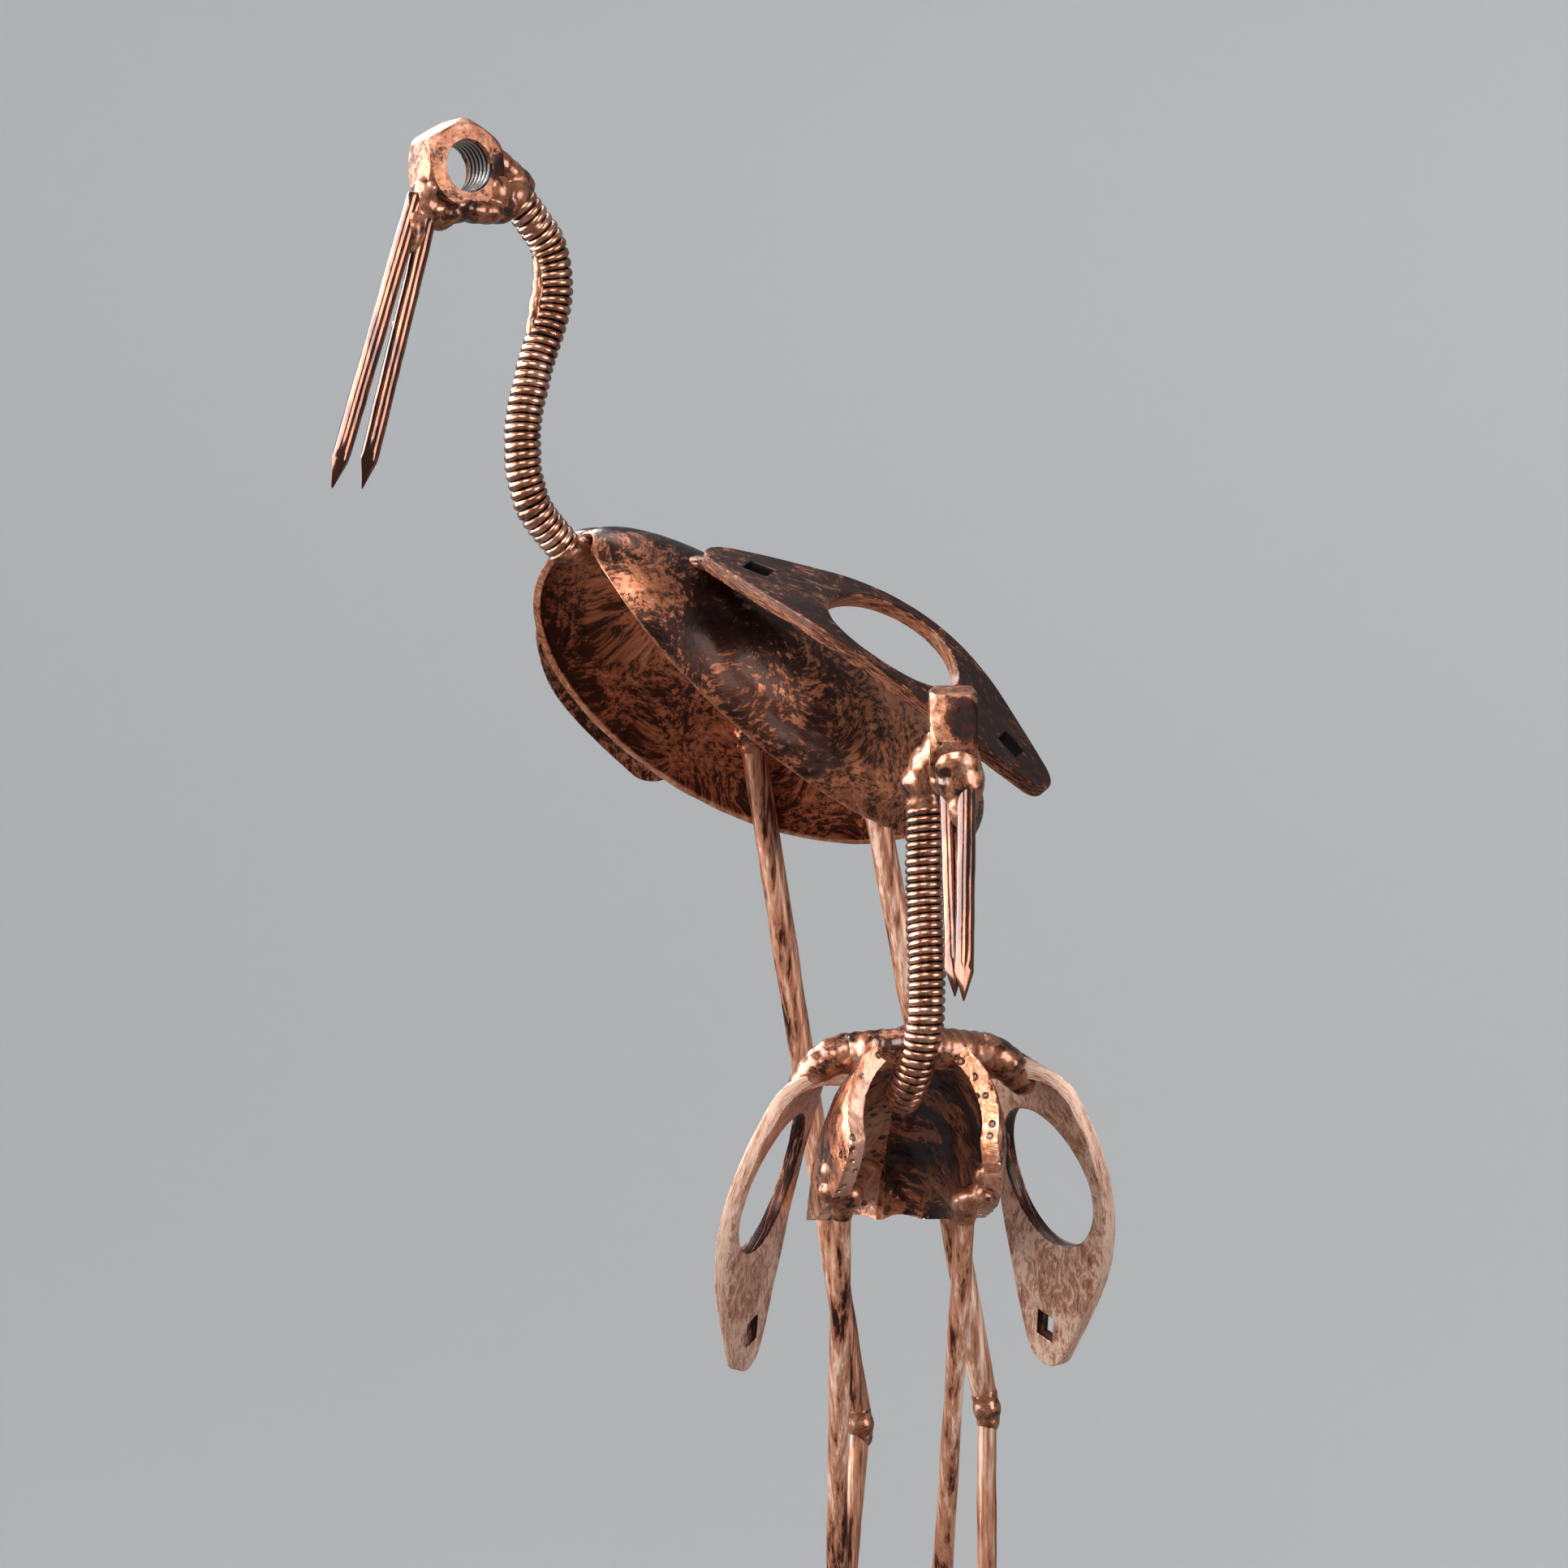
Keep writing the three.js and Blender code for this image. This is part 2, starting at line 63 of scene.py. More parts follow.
# Two cranes. Each is measured in millimetres in a frame of its own: x towards the beak, y to its
# left, z up from the plate's underside. It is then turned by its heading and stood in its place.
# A nail runs from its root to its tip, and a leg from its hip over its knee to its foot. A burnt
# spot is a place and a radius, and a hip lump is a place beside the hip and a size.
#
# A body starts at its front, given as x and z, and slopes down to the tail, where it droops. Its
# ridge stands up, and its rim drops and spreads. Each of these is a size, a lead that moves the
# widest place to the breast when it is under 1, and an exponent that is blunter when it is under 1.
# The lip is how much thicker the wall is at the rim, and its band says over one part in how many
# of the arc and of the length, if at the front too. The seam is how far the shell stays off the
# middle. The cut is the height and the slant of the plane that trims the underside. The rubbed
# band is again one part in so many, at the rim and at the front. The copper is how thickly it lies
# everywhere, and how much more towards the tail, towards the rim and on the left. On the outer
# face, the lesser copper towards the ridge is partly painted shade under the wings.
#
# A wing is its heart, the way to its tip and the way across it, the right one as in a mirror. Its
# tab at the root rolls down by the fold's degrees over the turn's millimetres. The copper is how
# thickly it lies everywhere, how much more underneath, on the rubbed edge, in the round hole and
# in the square holes. In the holes this is painted shade on the walls, and in the tall crane's
# round hole a little painted light. The small crane's thick, pale copper is partly a painted
# reflection of the sky.

TALL = {
    "name": "tall_crane",
    "place": (25, 55),
    "heading": 215,
    "head": {"at": (212.5, 0, 644.5), "pitch": 0, "yaw": 0},
    "burnt": [((197, 8, 643), 6)],
    "upper_nail": ((228.5, 0, 634), (262.5, 0, 530.3)),
    "lower_nail": ((223.5, 0, 628), (250.6, 0, 530.4)),
    "neck": [(187, 0, 634.5), (174, 0, 618), (172.5, 0, 600), (181, 0, 574), (185.5, 0, 549),
             (181.5, 0, 529), (166.5, 0, 511.5)],
    "wire": 3.1,
    "body": {
        "front": (163, 516), "slope": 29.3, "length": 198, "wall": 2, "bulge": 21, "breast": 0.1,
        "droop": 0, "cut": None,
        "ridge": (26, 1, 1), "drop": (41, 1, 1), "spread": (45, 0.9, 0.7),
        "lip": 1.5, "lip_band": (14, None), "seam": 0.1, "round": 0.45, "lumps": ((14, 0.8),),
        "rubbed_band": (90, 60),
        "outer_copper": (-0.22, 0.24, 0.1, 0), "inner_copper": (0.27, -0.06, -0.3, 0),
    },
    "wings": {
        "left": ((84, 84, 481.5), (-0.6, 0.56, -0.57), (-0.78, -0.57, 0.27)),
        "right": ((86, 87, 487), (-0.57, 0.59, -0.57), (-0.8, -0.54, 0.27)),
    },
    "wing_shape": {"tip_inset": 20, "bow": 28, "tab": 0, "turn": 0, "fold": 0,
                   "patches": 0.5, "copper": (-0.05, 0.04, 0.12, 0.06, -0.4),
                   "copper_colour": (0.42, 0.155, 0.075, 1), "pale_colour": (0.8, 0.46, 0.33, 1)},
    "leg_radii": (4.6, 3.6),
    "hip_lumps": [],
    "legs": {
        "left": ((62, 36, 440), (8, 36, 202), (8, 36)),
        "right": ((63, -36, 449), (13, -36, 189), (30, -36)),
    },
}

SMALL = {
    "name": "small_crane",
    "place": (6, -60),
    "heading": 276,
    "head": {"at": (60, 9.7, 447), "pitch": 16, "yaw": -6},
    "burnt": [((75, 12, 451), 7.5)],
    "upper_nail": ((68, 13.5, 438), (92, 9, 357)),
    "lower_nail": ((61, 8, 432), (82, 7.5, 358)),
    "neck": [(45, 2, 430), (46, 2, 415), (47, 2, 390), (51, 2, 363), (51, 1, 346), (44, -2, 330),
             (33, -5, 321)],
    "wire": 2.8,
    "body": {
        "front": (58, 338), "slope": 22, "length": 140, "wall": 4, "bulge": 14, "breast": 0.45,
        "droop": 18, "cut": (278.3, -0.094),
        "ridge": (22, 0.8, 0.8), "drop": (38, 0.6, 1.8), "spread": (30, 1.1, 0.2),
        "lip": 1.6, "lip_band": (12, 14), "seam": -0.9, "round": 1.2, "lumps": ((14, 0.8), (6, 1.1)),
        "rubbed_band": (13, 16),
        "outer_copper": (0.02, 0.02, 0.02, 0), "inner_copper": (0.12, 0.04, 0.03, -0.18),
    },
    "wings": {
        "left": ((-2, 56, 294), (-0.42, 0.15, -0.89), (-0.836, -0.458, 0.301)),
        "right": ((-2, 50, 293), (-0.43, 0.18, -0.88), (-0.836, -0.458, 0.301)),
    },
    # The small wings' thick copper and pale colour are partly a painted reflection of the sky
    "wing_shape": {"tip_inset": 15, "bow": 20, "tab": 34, "turn": 24, "fold": 75,
                   "patches": 1.3, "copper": (0.4, -0.03, 0.1, -0.55, -0.55),
                   "copper_colour": (0.43, 0.18, 0.105, 1), "pale_colour": (0.86, 0.59, 0.45, 1)},
    "leg_radii": (3.5, 3.3),
    "hip_lumps": [((9, 4, 3), (5.5, 5.5, 5)), ((11, 5, 10), (4, 4.5, 5)), ((6, -2, 1), (6, 5, 5))],
    "legs": {
        "left": ((26, 19, 286), (-8, 15, 143), (-5, 14)),
        "right": ((26, -24, 288), (-8, -22, 143), (-5, -22)),
    },
}

CRANES = (TALL, SMALL)
SIDES = (("left", 1), ("right", -1))
PLATE = {"width": 200, "depth": 250, "thickness": 8, "corner": 18}
FOOT = {"radius": 3.4, "length": 28, "lift": 9, "spread": 27, "back_toe": 0.6, "ankle": 1.5, "toe": 0.95,
        "tip": 0.9}
GAP = 0.3
MM = 0.001


# The settings a user may change

class CraneSizes(bpy.types.PropertyGroup):
    """Sizes of the parts that both cranes share"""
    nut_flats: bpy.props.FloatProperty(
        name="Nut across flats", description="Width of a head nut", default=0.030, unit="LENGTH")
    nut_thickness: bpy.props.FloatProperty(
        name="Nut thickness", description="Thickness of a head nut", default=0.016, unit="LENGTH")
    thread_pitch: bpy.props.FloatProperty(
        name="Thread pitch", description="Rise of the nut's thread in one turn", default=0.0025,
        unit="LENGTH")
    nail_thickness: bpy.props.FloatProperty(
        name="Nail thickness", description="Diameter of a beak nail", default=0.0064, unit="LENGTH")
    spring_width: bpy.props.FloatProperty(
        name="Spring width", description="Outside diameter of a neck spring", default=0.0132, unit="LENGTH")
    wing_length: bpy.props.FloatProperty(
        name="Wing length", description="Length of a wing plate before it is bent", default=0.150,
        unit="LENGTH")
    wing_width: bpy.props.FloatProperty(
        name="Wing width", description="Widest part of a wing plate", default=0.066, unit="LENGTH")
    wing_thickness: bpy.props.FloatProperty(
        name="Wing thickness", description="Thickness of a wing plate", default=0.005, unit="LENGTH")
    wing_hole: bpy.props.FloatProperty(
        name="Wing hole", description="Diameter of a wing plate's round hole", default=0.053, unit="LENGTH")


class PaintColours(bpy.types.PropertyGroup):
    """Colours of the antique copper paint"""
    black: bpy.props.FloatVectorProperty(
        name="Black", description="Paint under the copper", default=(0.013, 0.012, 0.012), subtype="COLOR")
    red: bpy.props.FloatVectorProperty(
        name="Red-brown", description="Thin copper glaze over the black", default=(0.085, 0.022, 0.011),
        subtype="COLOR")
    copper: bpy.props.FloatVectorProperty(
        name="Copper", description="Copper paint brushed on", default=(0.42, 0.155, 0.075), subtype="COLOR")
    pale: bpy.props.FloatVectorProperty(
        name="Pale copper", description="Copper where it is thick or rubbed", default=(0.80, 0.46, 0.33),
        subtype="COLOR")


class StudioSettings(bpy.types.PropertyGroup):
    """The backdrop's colour and the strength of each light"""
    backdrop: bpy.props.FloatVectorProperty(
        name="Backdrop", description="Colour of the floor and the backdrop", default=(0.6, 0.61, 0.62),
        subtype="COLOR")
    key_power: bpy.props.FloatProperty(
        name="Key light", description="Strength of the light on the left", default=100.0, min=0)
    fill_power: bpy.props.FloatProperty(
        name="Fill light", description="Strength of the light on the right", default=20.0, min=0)
    top_power: bpy.props.FloatProperty(
        name="Top light", description="Strength of the light overhead", default=14.0, min=0)
    low_power: bpy.props.FloatProperty(
        name="Low light", description="Strength of the light that reaches into the body shells",
        default=200.0, min=0)
    back_power: bpy.props.FloatProperty(
        name="Back light", description="Strength of the light behind the cranes", default=22.0, min=0)
    wall_power: bpy.props.FloatProperty(
        name="Wall light", description="Strength of the light on the backdrop", default=33.0, min=0)
    front_power: bpy.props.FloatProperty(
        name="Front light", description="Strength of the light above the camera", default=24.0, min=0)


# Workshop helpers

def only(piece=None):
    """Leaves object mode on, with one piece or nothing selected"""
    if bpy.context.mode != "OBJECT":
        bpy.ops.object.mode_set(mode="OBJECT")
    bpy.ops.object.select_all(action="DESELECT")
    if piece:
        piece.select_set(True)
        bpy.context.view_layer.objects.active = piece


def pick(piece, parts, test):
    """Opens a piece in edit mode with only the edges or polygons that pass a test selected"""
    only(piece)
    mesh = piece.data
    for group in (mesh.vertices, mesh.edges, mesh.polygons):
        group.foreach_set("select", [False] * len(group))
    for part in getattr(mesh, parts):
        if test(part):
            part.select = True
    bpy.context.tool_settings.mesh_select_mode = (False, parts == "edges", parts == "polygons")
    bpy.ops.object.mode_set(mode="EDIT")


def modify(piece, kind, **settings):
    """Adds a modifier, sets it and applies it"""
    only(piece)
    bpy.ops.object.modifier_add(type=kind)
    modifier = piece.modifiers[-1]
    for name, value in settings.items():
        setattr(modifier, name, value)
    bpy.ops.object.modifier_apply(modifier=modifier.name)


def merge(pieces):
    """Joins pieces into the first one"""
    only(pieces[0])
    for piece in pieces:
        piece.select_set(True)
    if len(pieces) > 1:
        bpy.ops.object.join()
    return bpy.context.object


def duplicate(piece):
    """A copy of a piece with a mesh of its own"""
    only(piece)
    bpy.ops.object.duplicate()
    return bpy.context.object


def put(piece, matrix):
    """Moves a piece's mesh by a matrix and leaves its object at the origin"""
    only(piece)
    piece.matrix_world = matrix
    bpy.ops.object.transform_apply(location=True, rotation=True, scale=True)


def roughen(piece, size, strength):
    """Lumps the surface up and down, as hand work and thick paint do"""
    name = f"lumps {size}"
    texture = bpy.data.textures.get(name) or bpy.data.textures.new(name, "CLOUDS")
    texture.noise_scale = size
    modify(piece, "DISPLACE", texture=texture, strength=strength, mid_level=0.5, texture_coords="LOCAL")


def crane_matrix(crane):
    """From the crane's own millimetres to the world's metres"""
    stand = Matrix.Translation((*crane["place"], 0)) @ Matrix.Rotation(math.radians(crane["heading"]), 4, "Z")
    return Matrix.Scale(MM, 4) @ stand


def deliver(piece, crane, part, material, sharp=35):
    """Names, places and paints a finished piece, and puts it in place of its plain solid"""
    node = f"{crane['name']}_{part}" if crane else part
    put(piece, crane_matrix(crane) if crane else Matrix.Scale(MM, 4))
    bpy.ops.object.shade_smooth_by_angle(angle=math.radians(sharp))
    piece.name = "look_" + node
    piece.data.name = piece.name
    piece.data.materials.clear()
    piece.data.materials.append(material)
    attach(piece, "root")
    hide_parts(node)


def rises(piece, least):
    """A test for edges whose ends differ in height by more than a least rise"""
    points = piece.data.vertices
    return lambda edge: abs(points[edge.vertices[0]].co.z - points[edge.vertices[1]].co.z) > least


def whole(part):
    """A test that every part passes"""
    return True


def rod(start, end, radius, sides=20, step=6):
    """A round bar between two points, with a ring at every step along it"""
    start, end = Vector(start), Vector(end)
    length = (end - start).length
    only()
    bpy.ops.mesh.primitive_cylinder_add(vertices=sides, radius=radius, depth=length)
    bar = bpy.context.object
    pick(bar, "edges", rises(bar, length / 2))
    bpy.ops.mesh.subdivide(number_cuts=max(1, round(length / step)))
    only(bar)
    turn = (end - start).to_track_quat("Z", "Y").to_matrix().to_4x4()
    put(bar, Matrix.Translation((start + end) / 2) @ turn)
    return bar


def ball(centre, size):
    """An egg-shaped bead"""
    only()
    bpy.ops.mesh.primitive_ico_sphere_add(subdivisions=3, radius=1)
    bead = bpy.context.object
    put(bead, Matrix.Translation(centre) @ Matrix.Diagonal((*size, 1)))
    return bead


def fuse(pieces, voxel=0.6, lumps=0.9):
    """Melts overlapping pieces into one lump of weld metal, with broad lumps and finer ones on them"""
    lump = merge(pieces)
    modify(lump, "REMESH", mode="VOXEL", voxel_size=voxel)
    modify(lump, "SMOOTH", factor=0.6, iterations=18)
    for size, share in ((5.5, 0.8), (2.4, 0.15)):
        roughen(lump, size, lumps * share)
    return lump


# Paint

# The recipe reckons how thick the copper lies, with 0 where it gives out. Each range is the lowest
# and highest value of a soft step, some with what the step gives at both ends.

COPPER_RANGE = (-0.07, 0.06)
GLAZE_RANGE = (-0.28, -0.01, 0.05, 0.8)
RED_TO_COPPER = (-0.2, 0.3)
COPPER_TO_PALE = (0.3, 0.95, 0.0, 0.9)
GRAIN_FINENESS = 3.1
GRAIN_SHARE = 0.28
EDGE_SHARE = 0.3
RUB = {"thickness": 1.7, "strokes": 1.5, "grain": 0.9}
ROUGH = {"strokes": 0.2, "copper": 0.08}
RELIEF = {"grain": 0.4, "copper": 0.3}
BURNT = {"inside": 0.6, "outside": 1.4, "copper_lost": -0.36, "roughness": -0.9, "coat_range": (-0.3, 0.0)}
PIT_DARKNESS = 0.75
BLACK_METAL = 0.7
SPECULAR = 0.3
COAT_ROUGHNESS = 0.12
BARE_STEEL = (0.6, 0.56, 0.53, 1)
# The groove ranges paint shade into the spring's grooves and, in part, a highlight onto its crests
GROOVE_PAINTED_SHADE = (0.25, 0.8)
CREST_RUB_HIGHLIGHT_AND_GROOVE_SHADE = (0.1, 0.6, 0.6, -0.9)
BARE_STARTS = (0.0, 0.05)
# The thread's crests are bare steel and its roots are painted dark, as painted shade in its grooves
STEEL_OVER_ROOT_SHADE = (0.5, 0.95)
SHELL_COLOURS = {"Red": (0.075, 0.026, 0.016, 1), "Copper": (0.46, 0.16, 0.075, 1),
                 "Pale": (0.78, 0.44, 0.3, 1)}


class Sheet:
    """Adds and joins the nodes of one shader tree. A value may be plain or another node's socket"""

    def __init__(self, tree):
        self.tree = tree

    def add(self, kind, inputs=None, **settings):
        """A node with its settings made and its inputs fed"""
        node = self.tree.nodes.new("ShaderNode" + kind)
        for name, value in settings.items():
            setattr(node, name, value)
        for name, value in (inputs or {}).items():
            self.feed(value, node.inputs[name])
        return node

    def feed(self, value, socket):
        """Gives an input its value"""
        if isinstance(value, bpy.types.NodeSocket):
            self.tree.links.new(value, socket)
        else:
            socket.default_value = value

    def reckon(self, operation, *values):
        """The result of a Math node"""
        return self.add("Math", dict(enumerate(values)), operation=operation).outputs[0]

    def mask(self, value, low, high, bottom=0.0, top=1.0):
        """A soft step from bottom, where the value is low, to top, where it is high"""
        inputs = {"Value": value, "From Min": low, "From Max": high, "To Min": bottom, "To Max": top}
        return self.add("MapRange", inputs, interpolation_type="SMOOTHSTEP").outputs["Result"]

    def mix(self, share, first, second):
        """The second colour over the first, by its share"""
        node = self.add("Mix", {0: share, 6: first, 7: second}, data_type="RGBA")
        return node.outputs[2]

    def noise(self, vector, scale, detail=4.0, distortion=0.0, roughness=0.55):
        """Cloudy noise that swings about a half"""
        inputs = {"Vector": vector, "Scale": scale, "Detail": detail, "Distortion": distortion,
                  "Roughness": roughness}
        return self.add("TexNoise", inputs).outputs["Fac"]

    def mark(self, name):
        """A value stored on the piece's own mesh"""
        return self.add("Attribute", attribute_name=name).outputs["Fac"]


def new_group(name, inputs, outputs):
    """An empty node group: inputs are (name, kind, default), outputs (name, kind)"""
    group = bpy.data.node_groups.new(name, "ShaderNodeTree")
    for socket_name, kind, default in inputs:
        socket = group.interface.new_socket(socket_name, in_out="INPUT", socket_type="NodeSocket" + kind)
        if default is not None:
            socket.default_value = default
    for socket_name, kind in outputs:
        group.interface.new_socket(socket_name, in_out="OUTPUT", socket_type="NodeSocket" + kind)
    given = group.nodes.new("NodeGroupInput").outputs
    result = group.nodes.new("NodeGroupOutput").inputs
    return group, Sheet(group), given, result


def rubbed_copper_group():
    """Copper paint rubbed over black in long strokes, with a red-brown glaze where it is thin"""
    name = "Rubbed copper"
    if name in bpy.data.node_groups:
        return bpy.data.node_groups[name]
    paint = bpy.context.scene.crane_paint
    group, sheet, given, result = new_group(name, (
        ("Vector", "Vector", None), ("Stretch", "Vector", (1, 1, 1)), ("Warp", "Float", 0.01),
        ("Stroke Scale", "Float", 220.0), ("Patch Scale", "Float", 30.0), ("Cover", "Float", 0.5),
        ("Contrast", "Float", 0.3), ("Patches", "Float", 1.6), ("Place", "Float", 0.0),
        ("Edge", "Float", 0.0),
        ("Black", "Color", (*paint.black, 1)), ("Red", "Color", (*paint.red, 1)),
        ("Copper", "Color", (*paint.copper, 1)), ("Pale", "Color", (*paint.pale, 1)),
    ), (("Color", "Color"), ("Copper", "Float"), ("Roughness", "Float"), ("Height", "Float")))
    drift = sheet.add("TexNoise", {"Vector": given["Vector"], "Scale": given["Patch Scale"], "Detail": 1.0})
    bent = sheet.add("VectorMath", {0: drift.outputs["Color"], "Scale": given["Warp"]}, operation="SCALE")
    bent = sheet.add("VectorMath", {0: given["Vector"], 1: bent.outputs[0]}, operation="ADD").outputs[0]
    long = sheet.add("VectorMath", {0: bent, 1: given["Stretch"]}, operation="MULTIPLY").outputs[0]
    fine = sheet.reckon("MULTIPLY", given["Stroke Scale"], GRAIN_FINENESS)
    strokes = sheet.noise(long, given["Stroke Scale"], detail=6.0, distortion=0.2, roughness=0.65)
    grain = sheet.noise(long, fine, roughness=0.7)
    patches = sheet.noise(bent, given["Patch Scale"], detail=7.0, distortion=0.2, roughness=0.62)
    stroke_swing = sheet.reckon("SUBTRACT", strokes, 0.5)
    grain_swing = sheet.reckon("SUBTRACT", grain, 0.5)
    patch_swing = sheet.reckon("SUBTRACT", patches, 0.5)
    swing = sheet.reckon("MULTIPLY", stroke_swing, given["Contrast"])
    swing = sheet.reckon("MULTIPLY_ADD", grain_swing, GRAIN_SHARE, swing)
    level = sheet.reckon("MULTIPLY_ADD", patch_swing, given["Patches"], 0.5)
    level = sheet.reckon("ADD", sheet.reckon("ADD", level, swing), given["Place"])
    level = sheet.reckon("MULTIPLY_ADD", given["Edge"], EDGE_SHARE, level)
    thick = sheet.reckon("SUBTRACT", level, sheet.reckon("SUBTRACT", 1.0, given["Cover"]))
    copper = sheet.mask(thick, *COPPER_RANGE)
    rubbed = sheet.reckon("MULTIPLY", thick, RUB["thickness"])
    rubbed = sheet.reckon("MULTIPLY_ADD", stroke_swing, RUB["strokes"], rubbed)
    rubbed = sheet.reckon("MULTIPLY_ADD", grain_swing, RUB["grain"], rubbed)
    colour = sheet.mix(sheet.mask(rubbed, *RED_TO_COPPER), given["Red"], given["Copper"])
    colour = sheet.mix(sheet.mask(rubbed, *COPPER_TO_PALE), colour, given["Pale"])
    under = sheet.mix(sheet.mask(thick, *GLAZE_RANGE), given["Black"], given["Red"])
    roughness = sheet.reckon("MULTIPLY", copper, ROUGH["copper"])
    height = sheet.reckon("MULTIPLY_ADD", grain, RELIEF["grain"], strokes)
    sheet.feed(sheet.mix(copper, under, colour), result["Color"])
    sheet.feed(copper, result["Copper"])
    sheet.feed(sheet.reckon("MULTIPLY_ADD", strokes, ROUGH["strokes"], roughness), result["Roughness"])
    sheet.feed(sheet.reckon("MULTIPLY_ADD", copper, RELIEF["copper"], height), result["Height"])
    return group


def pits_group():
    """Small round pits, scattered unevenly"""
    name = "Pits"
    if name in bpy.data.node_groups:
        return bpy.data.node_groups[name]
    group, sheet, given, result = new_group(name, (
        ("Vector", "Vector", None), ("Scale", "Float", 160.0), ("Share", "Float", 0.3),
        ("Size", "Float", 0.3),
    ), (("Mask", "Float"), ("Height", "Float")))
    cells = sheet.add("TexVoronoi", {"Vector": given["Vector"], "Scale": given["Scale"]})
    chance = sheet.add("SeparateColor", {0: cells.outputs["Color"]}).outputs[0]
    kept = sheet.reckon("LESS_THAN", chance, given["Share"])
    half = sheet.reckon("MULTIPLY", given["Size"], 0.5)
    near = sheet.mask(cells.outputs["Distance"], half, given["Size"], 1.0, 0.0)
    pits = sheet.reckon("MULTIPLY", kept, near)
    sheet.feed(pits, result["Mask"])
    sheet.feed(sheet.reckon("MULTIPLY", pits, -1.0), result["Height"])
    return group


def painted(name, rough, bump, marks=(), stretch=(1, 1, 1), pits=None, spots=(), coat=0.0,
            metal=BLACK_METAL, uv=False, **values):
    """A material of copper rubbed over black. Marks are values stored on the mesh. The stretch draws
    out the whole pattern. Pits are (scale, share, size, depth) and burnt spots (x, y, z, radius).
    Other values go to the sockets of the paint group"""
    if name in bpy.data.materials:
        return bpy.data.materials[name]
    material = bpy.data.materials.new(name)
    material.use_nodes = True
    tree = material.node_tree
    sheet = Sheet(tree)
    shader = tree.nodes["Principled BSDF"]
    places = sheet.add("TexCoord").outputs
    vector = sheet.add("Mapping", {"Vector": places["UV" if uv else "Object"], "Scale": stretch})
    paint = sheet.add("Group", {"Vector": vector.outputs["Vector"]}, node_tree=rubbed_copper_group())
    for socket, value in values.items():
        sheet.feed(value, paint.inputs[socket.replace("_", " ")])
    for mark, socket in (("edge", "Edge"), ("cover", "Place")):
        if mark in marks:
            sheet.feed(sheet.mark(mark), paint.inputs[socket])
    colour, height = paint.outputs["Color"], paint.outputs["Height"]
    roughness = sheet.reckon("ADD", paint.outputs["Roughness"], rough)
    dark = (*bpy.context.scene.crane_paint.black, 1)
    shade = 0.0
    for x, y, z, radius in spots:
        away = sheet.add("VectorMath", {0: places["Object"], 1: (x, y, z)}, operation="DISTANCE")
        spot = sheet.mask(away.outputs["Value"], radius * BURNT["inside"], radius * BURNT["outside"],
                          BURNT["copper_lost"], 0.0)
        shade = sheet.reckon("ADD", spot, shade)
    if spots:
        sheet.feed(shade, paint.inputs["Place"])
        roughness = sheet.reckon("MULTIPLY_ADD", shade, BURNT["roughness"], roughness)
        sheet.feed(sheet.mask(shade, *BURNT["coat_range"], 0.0, coat), shader.inputs["Coat Weight"])
    if pits:
        scale, share, size, depth = pits
        inputs = {"Vector": places["Object"], "Scale": scale, "Share": share, "Size": size}
        holes = sheet.add("Group", inputs, node_tree=pits_group())
        colour = sheet.mix(sheet.reckon("MULTIPLY", holes.outputs["Mask"], PIT_DARKNESS), colour, dark)
        height = sheet.reckon("ADD", height, sheet.reckon("MULTIPLY", holes.outputs["Height"], depth))
    # Darker grooves are black paint left there and painted shade; paler crests are rubbed copper and painted
    # highlight
    if "groove" in marks:
        deep = sheet.mark("groove")
        colour = sheet.mix(sheet.mask(deep, *GROOVE_PAINTED_SHADE), colour, dark)
        sheet.feed(sheet.mask(deep, *CREST_RUB_HIGHLIGHT_AND_GROOVE_SHADE), paint.inputs["Edge"])
    # Bare steel on the thread's crests, painted shade in its roots
    if "bare" in marks:
        steel = sheet.mark("bare")
        thread = sheet.mix(sheet.mask(steel, *STEEL_OVER_ROOT_SHADE), dark, BARE_STEEL)
        colour = sheet.mix(sheet.mask(steel, *BARE_STARTS), colour, thread)
    sheet.feed(colour, shader.inputs["Base Color"])
    sheet.feed(roughness, shader.inputs["Roughness"])
    sheet.feed(sheet.mask(paint.outputs["Copper"], 0.0, 1.0, BLACK_METAL, metal), shader.inputs["Metallic"])
    shader.inputs["Specular IOR Level"].default_value = SPECULAR
    shader.inputs["Coat Weight"].default_value = coat
    shader.inputs["Coat Roughness"].default_value = COAT_ROUGHNESS
    relief = sheet.add("Bump", {"Height": height, "Distance": bump * MM})
    sheet.feed(relief.outputs["Normal"], shader.inputs["Normal"])
    return material


def nut_lacquer(crane):
    """Lacquered copper, with a dark spot where the heat of the welding burnt it"""
    name = crane["name"].replace("_", " ") + " nut lacquer"
    spots = [(*(crane_matrix(crane) @ Vector(place)), radius * MM) for place, radius in crane["burnt"]]
    return painted(name, 0.16, 0.3, ("bare",), pits=(300, 0.2, 0.3, 1.0), coat=0.2, spots=spots,
                   Stroke_Scale=260, Patch_Scale=70, Patches=1.2, Cover=0.65, Contrast=0.45, Warp=0.01)


def nail_lacquer():
    """Dark lacquered copper, brushed along the nail"""
    return painted("nail lacquer", -0.03, 0.05, stretch=(1, 1, 0.12), coat=1.0, metal=0.9,
                   Copper=(0.26, 0.08, 0.035, 1), Pale=(0.5, 0.22, 0.14, 1),
                   Stroke_Scale=150, Patch_Scale=130, Patches=0.7, Cover=0.52, Contrast=0.25, Warp=0.01)


def spring_paint():
    """Glossy copper on the coils, the paint's black and painted shade in the grooves, rubbed copper and
    painted highlight on the crests
    """
    return painted("spring copper", 0.1, 0.04, ("groove",), coat=1.0, metal=0.85,
                   Stroke_Scale=220, Patch_Scale=70, Cover=0.58, Contrast=0.35, Warp=0.01)


